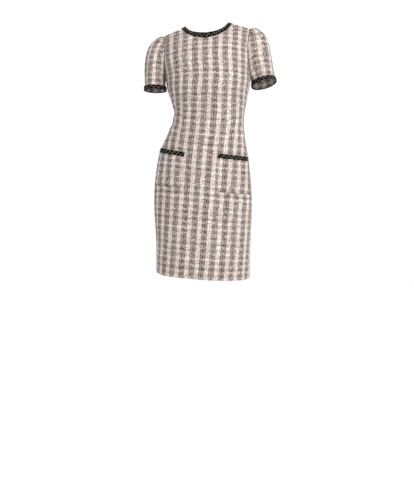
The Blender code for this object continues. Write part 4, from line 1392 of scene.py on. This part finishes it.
def make_zip():
    """The zip's tape and its coil of teeth, which shows as a fine line in the seam."""
    first = math.ceil(row_at(ZIP_END_LEVEL))
    rows = finer(list(range(first, BRAID_ROW + 1)), 4)
    columns = [ZIP_TAPE_COLUMN * (step / 8 - 1) for step in range(17)]
    columns.reverse()
    points = np.array([[on_dress(1, column or 1e-9, row) for column in columns] for row in rows])
    aims = np.array([[outward(1, column, row) for column in columns] for row in rows])
    depth = CLOTH + SEAM + 0.3 * MM
    places = body_places(1, points, 8)
    flat = np.zeros(points.shape[:2])
    tape = shell("zip_tape_woven", points - aims * depth, aims, places, ZIP_TAPE, False, flat)
    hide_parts("zip_tape")
    last = BRAID_ROW - 0.5
    count = int((last - first) / 0.25)
    line = along_dress([(1, 0, first + (last - first) * step / count) for step in range(count + 1)])
    step = 0.45 * MM
    rows, _, goals = resampled(np.concatenate(line, axis=1), step)
    phase = 2 * math.pi * goals / COIL_PITCH
    across = unit(np.cross(np.gradient(rows[:, :3], axis=0), rows[:, 3:]))
    coil = Maker()
    for side in (-1, 1):
        sway = across * (side * (0.42 * MM + 0.22 * MM * np.cos(phase)))[:, None]
        path = rows[:, :3] + sway - rows[:, 3:] * (1.15 * MM + 0.3 * MM * np.sin(phase))[:, None]
        coil.tube(path, rows[:, 3:], goals, COIL_WIRE, COIL_WIRE, 5)
    return tape, coil.piece("zip_coil")


# ================================================================ materials


class Nodes:
    """Short ways to add and join shader nodes in one material."""

    def __init__(self, name):
        self.material = bpy.data.materials.new(name)
        self.material.use_nodes = True
        self.tree = self.material.node_tree
        self.shader = self.tree.nodes["Principled BSDF"]

    def node(self, kind, **settings):
        made = self.tree.nodes.new(kind)
        for key, value in settings.items():
            setattr(made, key, value)
        return made

    def join(self, value, socket):
        if isinstance(value, bpy.types.NodeSocket):
            self.tree.links.new(value, socket)
        else:
            socket.default_value = value

    def math(self, operation, first, second=None, third=None):
        made = self.node("ShaderNodeMath", operation=operation)
        for value, socket in zip((first, second, third), made.inputs):
            if value is not None:
                self.join(value, socket)
        return made.outputs[0]

    def times(self, first, second):
        return self.math("MULTIPLY", first, second)

    def plus(self, first, second):
        return self.math("ADD", first, second)

    def scaled(self, value, factor, added):
        return self.math("MULTIPLY_ADD", value, factor, added)

    def ramp(self, value, low, high, to_low=0.0, to_high=1.0):
        """A smooth step from one value to another."""
        made = self.node("ShaderNodeMapRange", interpolation_type="SMOOTHSTEP")
        keys = ("Value", "From Min", "From Max", "To Min", "To Max")
        for key, number in zip(keys, (value, low, high, to_low, to_high)):
            self.join(number, made.inputs[key])
        return made.outputs["Result"]

    def noise(self, vector, scale, detail, roughness=0.5):
        made = self.node("ShaderNodeTexNoise", noise_dimensions="3D")
        self.join(vector, made.inputs["Vector"])
        made.inputs["Scale"].default_value = scale
        made.inputs["Detail"].default_value = detail
        made.inputs["Roughness"].default_value = roughness
        return made.outputs["Fac"], made.outputs["Color"]

    def white(self, vector):
        made = self.node("ShaderNodeTexWhiteNoise", noise_dimensions="3D")
        self.join(vector, made.inputs["Vector"])
        return made.outputs["Value"]

    def vector(self, x, y, z=0.0):
        made = self.node("ShaderNodeCombineXYZ")
        for value, socket in zip((x, y, z), made.inputs):
            self.join(value, socket)
        return made.outputs[0]

    def mix(self, share, first, second, blend="MIX"):
        made = self.node("ShaderNodeMix", data_type="RGBA", blend_type=blend)
        self.join(share, made.inputs["Factor"])
        for value, socket in ((first, made.inputs[6]), (second, made.inputs[7])):
            self.join((*value, 1.0) if isinstance(value, tuple) else value, socket)
        return made.outputs[2]

    def places(self):
        """The two lengths of a cloth place."""
        uv = self.node("ShaderNodeUVMap", uv_map="cloth")
        split = self.node("ShaderNodeSeparateXYZ")
        self.join(uv.outputs[0], split.inputs[0])
        return split.outputs[0], split.outputs[1]

    def bump(self, height, distance, strength=1.0):
        made = self.node("ShaderNodeBump")
        made.inputs["Strength"].default_value = strength
        made.inputs["Distance"].default_value = distance
        self.join(height, made.inputs["Height"])
        self.join(made.outputs[0], self.shader.inputs["Normal"])

    def finish(self, colour, **settings):
        """Joins the base colour and sets the shader's other inputs."""
        self.join(colour, self.shader.inputs["Base Color"])
        for key, value in settings.items():
            self.shader.inputs[key.replace("_", " ")].default_value = value


def linear(red, green, blue):
    """A colour given as it shows on a screen, 0 to 255, in the shader's own scale."""
    return tuple((value / 255) ** 2.2 for value in (red, green, blue))


CREAM = linear(234, 223, 215)
ROSE_CREAM = linear(228, 211, 204)
TAUPE = linear(138, 122, 114)
OLIVE_TAUPE = linear(126, 115, 103)
ROSE_TAUPE = linear(142, 120, 114)
DARK_YARN = linear(30, 24, 22)
FLECK = linear(40, 32, 30)

YARN = WARP_REPEAT / 13
LIGHT_WARP_HALF = 7.6 * MM
LIGHT_WEFT_HALF = 4.9 * MM
WARP_BLUR = 1.2 * MM
WEFT_BLUR = 1.6 * MM

# Noise over the cloth: cells a metre, detail and roughness
Grain = namedtuple("Grain", "scale detail roughness")
WAVER = Grain(26.0, 1.0, 0.5)
RAGGED = Grain(420.0, 2.0, 0.6)
WARP_TINT = Grain(55.0, 2.0, 0.6)
WEFT_TINT = Grain(38.0, 2.0, 0.6)
PATCH = Grain(14.0, 2.0, 0.5)
SLUB = Grain(160.0, 3.0, 0.6)
CLUMP = Grain(230.0, 3.0, 0.7)
SPECK = Grain(330.0, 1.0, 0.5)
RARE = Grain(110.0, 1.0, 0.5)

# How far the bands stray in slow waves and in ragged steps, how much of that the single
# yarns follow, and how long the slubs are for their width
WAVER_SIZE = 4.0 * MM
RAGGED_SIZE = 4.2 * MM
CALM = 0.35
SLUB_STRETCH = 4.0

# Lines of the check: where each begins to show, and where it is whole
Line = namedtuple("Line", "outer inner")
CENTRE_LINE = Line(2.0 * MM, 1.0 * MM)
STRONG_CENTRE_LINE = Line(2.3 * MM, 1.2 * MM)
SIDE_LINE = Line(1.3 * MM, 0.5 * MM)
STRONG_BAND = Line(14.0 * MM, 12.0 * MM)
DASH = Line(5.4 * MM, 3.2 * MM)
PICK_LINE = Line(2.2 * MM, 1.0 * MM)
BRIGHT_LINE = Line(1.8 * MM, 0.8 * MM)

# How strongly things show. In a pair the first is what the feature adds to the second
MIXED_WEFT = 0.27
CENTRE_STRENGTH = 0.75
SIDE_STRENGTH = (0.60, 0.38)
DASH_STRENGTH = (0.66, 0.34)
BROKEN_STRENGTH = (0.45, 0.55)
PICK_STRENGTH = 0.55
BRIGHT_STRENGTH = 0.42
FLECK_STRENGTH = 0.75
NUB_STRENGTH = (0.6, 0.3)
LIGHT_WARP_SHARE = (-0.10, 0.45)
OVER_SHARE = 0.50
CREST_SHARE = 0.25
WARP_TONE = 0.095
WEFT_TONE = 0.08
CELL_TONE = (0.37, 0.195)
CLUMP_TONE = (-0.075, 0.30)


class Tweed(Nodes):
    """A loose tweed of cream and taupe, with dark slubby yarns in a fine check."""

    def __init__(self, name):
        super().__init__(name)
        self.u, self.v = self.places()
        self.place = self.vector(self.u, self.v)
        _, waver = self.noise(self.place, *WAVER)
        _, ragged = self.noise(self.place, *RAGGED)
        strays = []
        for channel in range(2):
            slow, quick = (
                self.stray(colour, channel, size)
                for colour, size in ((waver, WAVER_SIZE), (ragged, RAGGED_SIZE))
            )
            strays.append(self.plus(slow, quick))
        self.stray_v = strays[1]
        self.loose_u = self.plus(self.u, strays[0])
        self.loose_v = self.plus(self.v, strays[1])
        yarn_u = self.times(self.scaled(strays[0], CALM, self.u), 1 / YARN)
        yarn_v = self.times(self.scaled(strays[1], CALM, self.v), 1 / YARN)
        self.cell_u, self.cell_v = self.math("FLOOR", yarn_u), self.math("FLOOR", yarn_v)
        self.over = self.math("PINGPONG", self.plus(self.cell_u, self.cell_v), 1.0)
        self.crest_u, self.crest_v = self.crest(yarn_u), self.crest(yarn_v)
        self.light_warp = self.band(
            self.loose_u, WARP_REPEAT, WARP_REPEAT / 2, LIGHT_WARP_HALF, WARP_BLUR
        )
        self.light_weft = self.band(self.loose_v, WEFT_REPEAT, 0.0, LIGHT_WEFT_HALF, WEFT_BLUR)
        long_warp = self.vector(self.times(self.u, SLUB_STRETCH), self.v)
        long_weft = self.vector(self.u, self.times(self.v, SLUB_STRETCH))
        self.slub, _ = self.noise(long_warp, *SLUB)
        self.slub_weft, _ = self.noise(long_weft, *SLUB)

    def stray(self, colour, channel, size):
        """One channel of a coloured noise, as a length to either side."""
        split = self.node("ShaderNodeSeparateColor")
        self.join(colour, split.inputs[0])
        return self.scaled(split.outputs[channel], size, -size / 2)

    def crest(self, yarn):
        """How high a round yarn stands: 0 between yarns and 1 along the middle."""
        return self.math("ABSOLUTE", self.math("SINE", self.times(yarn, math.pi)))

    def distance_to(self, value, repeat, offset):
        """Distance from the nearest line of a repeat."""
        turned = self.math("FRACT", self.scaled(value, 1 / repeat, 0.5 - offset / repeat))
        off_line = self.math("ABSOLUTE", self.math("SUBTRACT", turned, 0.5))
        return self.times(off_line, repeat)

    def band(self, value, repeat, offset, half, blur):
        """1 inside the bands of a repeat and 0 outside them."""
        distance = self.distance_to(value, repeat, offset)
        return self.ramp(distance, half + blur, half - blur)

    def woven(self):
        """The colour of the warp and weft yarns over and under each other."""
        tint_u, _ = self.noise(self.vector(self.u, 0.0), *WARP_TINT)
        tint_v, _ = self.noise(self.vector(self.v, 5.0), *WEFT_TINT)
        patch, _ = self.noise(self.place, *PATCH)
        warp_taupe = self.mix(self.ramp(tint_u, 0.40, 0.60), OLIVE_TAUPE, ROSE_TAUPE)
        weft_taupe = self.mix(self.ramp(tint_v, 0.40, 0.60), TAUPE, ROSE_TAUPE)
        cream = self.mix(self.ramp(patch, 0.42, 0.62), CREAM, ROSE_CREAM)
        warp = self.mix(self.light_warp, warp_taupe, cream)
        weft_dark = self.mix(MIXED_WEFT, weft_taupe, cream)
        weft_light = self.mix(MIXED_WEFT, cream, weft_taupe)
        weft = self.mix(self.light_weft, weft_dark, weft_light)
        share = self.scaled(self.over, OVER_SHARE, self.scaled(self.light_warp, *LIGHT_WARP_SHARE))
        lift = self.times(self.math("SUBTRACT", self.crest_u, self.crest_v), CREST_SHARE)
        colour = self.mix(self.plus(share, lift), weft, warp)

        warp_tone = self.white(self.vector(self.cell_u, 3.0, 1.0))
        weft_tone = self.white(self.vector(7.0, self.cell_v, 2.0))
        cell_tone = self.white(self.vector(self.cell_u, self.cell_v, 5.0))
        clump, _ = self.noise(self.place, *CLUMP)
        tone = self.plus(self.times(warp_tone, WARP_TONE), self.times(weft_tone, WEFT_TONE))
        tone = self.plus(tone, self.scaled(cell_tone, *CELL_TONE))
        tone = self.plus(tone, self.ramp(clump, 0.38, 0.62, *CLUMP_TONE))
        return self.mix(1.0, colour, self.vector(tone, tone, tone), "MULTIPLY")

    def dark_warp(self):
        """Where the dark warp yarns show: broken dashes, strongest in every second band."""
        from_band = self.distance_to(self.loose_u, WARP_REPEAT, 0.0)
        from_strong = self.distance_to(self.loose_u, 2 * WARP_REPEAT, WARP_REPEAT)
        from_weft_gap = self.distance_to(self.loose_v, WEFT_REPEAT, WEFT_REPEAT / 2)
        from_side = self.math("ABSOLUTE", self.math("SUBTRACT", from_band, 3 * YARN))
        strong = self.ramp(from_strong, *STRONG_BAND)
        side = self.times(self.ramp(from_side, *SIDE_LINE), self.scaled(strong, *SIDE_STRENGTH))
        centre = self.times(self.ramp(from_band, *CENTRE_LINE), CENTRE_STRENGTH)
        centre = self.math("MAXIMUM", centre, self.ramp(from_strong, *STRONG_CENTRE_LINE))
        seen = self.math("MAXIMUM", centre, side)
        dash = self.ramp(from_weft_gap, *DASH)
        seen = self.times(seen, self.scaled(dash, *DASH_STRENGTH))
        return self.times(seen, self.scaled(self.ramp(self.slub, 0.40, 0.52), *BROKEN_STRENGTH))

    def dark_picks(self):
        """Where a dark weft yarn shows."""
        distance = self.distance_to(self.v, 4 * WEFT_REPEAT, 0.5 * WEFT_REPEAT)
        distance = self.math("ABSOLUTE", self.plus(distance, self.times(self.stray_v, 0.6)))
        pick = self.times(self.ramp(distance, *PICK_LINE), self.ramp(self.slub_weft, 0.38, 0.60))
        return self.times(pick, PICK_STRENGTH)

    def bright_picks(self):
        """Where a pale weft yarn shows."""
        distance = self.distance_to(self.loose_v, 5 * WEFT_REPEAT, 2.0 * WEFT_REPEAT)
        pick = self.times(self.ramp(distance, *BRIGHT_LINE), self.ramp(self.slub_weft, 0.56, 0.40))
        return self.times(pick, BRIGHT_STRENGTH)

    def specks(self):
        """Where dark flecks and pale nubs show."""
        speck, _ = self.noise(self.place, *SPECK)
        rare, _ = self.noise(self.place, *RARE)
        fleck = self.times(self.ramp(speck, 0.58, 0.64), self.ramp(rare, 0.46, 0.56))
        nub = self.times(self.ramp(speck, 0.42, 0.36), self.ramp(rare, 0.56, 0.46))
        nub = self.times(nub, self.scaled(self.light_weft, *NUB_STRENGTH))
        return self.times(fleck, FLECK_STRENGTH), nub

    def relief(self):
        """The height of the yarns and slubs."""
        under = self.math("SUBTRACT", 1.0, self.over)
        relief = self.plus(self.times(self.crest_u, self.over), self.times(self.crest_v, under))
        relief = self.plus(relief, self.times(self.slub, 0.9))
        return self.plus(relief, self.times(self.light_warp, 0.25))


def tweed_material():
    """The tweed's colour and relief, with a little nap."""
    n = Tweed("tweed_check")
    fleck, nub = n.specks()
    layers = (
        (n.dark_warp(), DARK_YARN), (n.dark_picks(), DARK_YARN), (n.bright_picks(), CREAM),
        (fleck, FLECK), (nub, CREAM),
    )
    colour = n.woven()
    for share, yarn in layers:
        colour = n.mix(share, colour, yarn)
    n.finish(
        colour, Roughness=0.88, Specular_IOR_Level=0.12, Sheen_Weight=0.08, Sheen_Roughness=0.6,
        Sheen_Tint=(1.0, 0.96, 0.92, 1.0),
    )
    n.bump(n.relief(), 0.55 * MM, 0.9)
    return n.material


# A strand's plies: turns round it, and turns in a metre of it
PLIES = 4
PLY_TWIST = 5200.0


def yarn_material(name, colour, other, roughness, metallic=0.0):
    """A strand's yarn: fine plies along it, with a second tone here and there."""
    n = Nodes(name)
    s, t = n.places()
    turn = n.plus(n.times(t, 2 * PLIES * math.pi), n.times(s, PLY_TWIST))
    tone, _ = n.noise(n.vector(s, t), 300.0, 2.0)
    mixed = n.mix(n.ramp(tone, 0.50, 0.66), colour, other)
    n.finish(mixed, Roughness=roughness, Metallic=metallic, Specular_IOR_Level=0.06)
    n.bump(n.plus(n.math("SINE", turn), n.times(tone, 1.5)), 0.15 * MM, 0.7)
    return n.material


def tape_material(name, colour):
    """A fine plain-woven tape, with painted shade: a darker copy of its colour in the weave's low
    places.
    """
    n = Nodes(name)
    waves = []
    for place, pitch in zip(n.places(), (0.9 * MM, 0.7 * MM)):
        waves.append(n.math("SINE", n.times(place, 2 * math.pi / pitch)))
    weave = n.times(*waves)
    # Painted shade: the weave's hollows, where the bump is low, get a darker copy of the tape's
    # colour.
    dark = tuple(value * 0.6 for value in colour)
    n.finish(n.mix(n.ramp(weave, -0.6, 0.8), dark, colour), Roughness=0.8)
    n.bump(weave, 0.1 * MM, 0.6)
    return n.material


def metal_material(name, colour):
    """Satin metal with fine wear."""
    n = Nodes(name)
    place = n.node("ShaderNodeNewGeometry").outputs["Position"]
    worn, _ = n.noise(place, 900.0, 3.0)
    dull = tuple(value * 0.7 for value in colour)
    n.finish(n.mix(n.ramp(worn, 0.35, 0.7), colour, dull), Metallic=1.0)
    n.join(n.ramp(worn, 0.3, 0.8, 0.22, 0.42), n.shader.inputs["Roughness"])
    n.bump(worn, 0.05 * MM, 0.4)
    return n.material


# ================================================================ putting it together


def dress_piece(piece, material):
    """A piece of the dress: it rides on the dress's body with its finish."""
    piece.data.materials.clear()
    piece.data.materials.append(material)
    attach(piece, BODY)
    return piece


# Pitch, length and radius of the stitches up the pocket's sides and along its bottom. The bottom
# stitches are thick and dark so that they also stand for the shadow line under the pocket's bottom
# edge: painted shade.
SIDE_STITCH = (6.0 * MM, 4.0 * MM, 0.45 * MM)
BOTTOM_STITCH_SHADE_LINE = (11.0 * MM, 8.0 * MM, 0.80 * MM)
POCKET_STITCHES = (SIDE_STITCH, BOTTOM_STITCH_SHADE_LINE, SIDE_STITCH)

Panel = namedtuple("Panel", "node facing first last creases darts flat area")
PANELS = (
    Panel("front", -1, -SIDE_COLUMN, SIDE_COLUMN, FRONT_CREASES, FRONT_DARTS, (0.52, 0.95), 0.400),
    Panel("back_left", 1, -SIDE_COLUMN, 0, BACK_CREASES, BACK_DARTS, (0.27, 0.95), 0.205),
    Panel("back_right", 1, 0, SIDE_COLUMN, BACK_CREASES, BACK_DARTS, (0.27, 0.95), 0.205),
)


def build_panels(tweed):
    """The front and the two back halves, and the front's places for the pockets."""
    pieces, sheets = [], []
    for panel in PANELS:
        piece, sheet = body_panel(
            panel.node + "_cloth", panel.facing, panel.first, panel.last, panel.creases, panel.darts
        )
        dress_piece(piece, tweed)
        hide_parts(panel.node)
        pieces.append(piece)
        sheets.append(sheet)
    return pieces, sheets[0]


def build_dress():
    """Every piece of cloth, braid, sewing and zip."""
    tweed = tweed_material()
    dark_yarn = yarn_material("braid_yarn", linear(5, 4, 4), linear(18, 15, 13), 0.85)
    glint_yarn = yarn_material(
        "braid_metallic", linear(30, 26, 22), linear(214, 206, 188), 0.35, 0.4
    )
    # The pocket thread is darker than its own colour so that it gives part of the shadow line under
    # each pocket: painted shade.
    thread = yarn_material("sewing_thread", linear(46, 38, 34), linear(66, 56, 50), 0.6)
    turnings = yarn_material("seam_turnings", linear(112, 98, 88), linear(84, 72, 64), 0.8)
    nylon = yarn_material("zip_coil_nylon", linear(170, 156, 144), linear(150, 138, 128), 0.45)

    def braid(*details):
        for piece, yarn in zip(make_braid(*details), (dark_yarn, glint_yarn)):
            dress_piece(piece, yarn)

    (front, left, right), front_sheet = build_panels(tweed)
    for sleeve in SLEEVES:
        piece, edges = make_sleeve(sleeve)
        dress_piece(piece, tweed)
        braid("cuff_braid_" + sleeve.name, "cuff_trim_" + sleeve.name, edges, LIFT, True)
    braid("neck_braid", "neck_trim", neck_edges(), LIFT)

    sewn = Maker()
    for pocket in POCKETS:
        piece, lines = make_pocket(pocket, front_sheet)
        dress_piece(piece, tweed)
        for (line, aims), (pitch, length, radius) in zip(lines, POCKET_STITCHES):
            stitches(sewn, line, aims, pitch, length, radius)
        lift = LIFT + POCKET_CLOTH + SEAM
        name = "_" + pocket.name
        braid("pocket_braid" + name, "pocket_trim" + name, pocket_mouth(pocket), lift)
    dress_piece(sewn.piece("pocket_stitches"), thread)

    dress_piece(seam_cords(), turnings)
    tape, coil = make_zip()
    dress_piece(tape, tape_material("zip_tape_weave", linear(178, 164, 152)))
    dress_piece(coil, nylon)
    metal = metal_material("zip_satin_metal", linear(168, 158, 142))
    for node in ("zip_slider", "zip_pull"):
        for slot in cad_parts[node].material_slots:
            slot.material = metal


# ================================================================ studio

FLOOR_LEVEL = -1.46
FLOOR_RADIUS = 14.0
FLOOR_SIDES = 48

CAMERA_DISTANCE = 3.8
CAMERA_LEVEL = -0.781
METRES_PER_PIXEL = 0.00365
PHOTO_HEIGHT = 480
SENSOR = 36.0

Lamp = namedtuple("Lamp", "name place size power")
LAMPS = (
    Lamp("key", (1.9, -3.1, 1.5), 1.8, 158.0),
    Lamp("fill", (-2.6, -2.6, 0.4), 2.6, 1.0),
    Lamp("front", (0.6, -4.6, -0.2), 2.5, 30.0),
    Lamp("rim", (0.8, 2.6, 1.8), 2.0, 30.0),
)
LAMP_TARGET = Vector((0.0, 0.0, -0.45))
WORLD_STRENGTH = 1.04


def build_floor():
    """A plain pale floor, wide enough to fill the view from every side."""
    turns = [2 * math.pi * side / FLOOR_SIDES for side in range(FLOOR_SIDES)]
    vertices = [
        (FLOOR_RADIUS * math.cos(turn), FLOOR_RADIUS * math.sin(turn), FLOOR_LEVEL)
        for turn in turns
    ]
    floor = mesh_piece("studio_floor", vertices, [range(FLOOR_SIDES)])
    n = Nodes("studio_pale")
    n.finish((0.97, 0.97, 0.97, 1.0), Roughness=0.9)
    floor.data.materials.append(n.material)


def area_light(lamp):
    """A soft square light that points at the dress."""
    data = bpy.data.lights.new(lamp.name, "AREA")
    data.size = lamp.size
    data.energy = lamp.power
    light = bpy.data.objects.new(lamp.name, data)
    light.location = lamp.place
    aim = LAMP_TARGET - Vector(lamp.place)
    light.rotation_euler = aim.to_track_quat("-Z", "Y").to_euler()
    bpy.context.scene.collection.objects.link(light)


def build_studio():
    """Floor, lights, surroundings and the camera at the photo's viewing angle."""
    scene = bpy.context.scene
    build_floor()
    for lamp in LAMPS:
        area_light(lamp)
    world = bpy.data.worlds.new("studio_world")
    world.use_nodes = True
    background = world.node_tree.nodes["Background"]
    background.inputs["Color"].default_value = (1.0, 1.0, 1.0, 1.0)
    background.inputs["Strength"].default_value = WORLD_STRENGTH
    scene.world = world
    scene.view_settings.view_transform = "Standard"

    data = bpy.data.cameras.new("camera")
    data.sensor_fit = "VERTICAL"
    data.sensor_height = SENSOR
    data.lens = SENSOR * CAMERA_DISTANCE / (PHOTO_HEIGHT * METRES_PER_PIXEL)
    camera = bpy.data.objects.new("camera", data)
    camera.location = (0.0, -CAMERA_DISTANCE, CAMERA_LEVEL)
    camera.rotation_euler = (math.pi / 2, 0.0, 0.0)
    scene.collection.objects.link(camera)
    scene.camera = camera


build_dress()
build_studio()
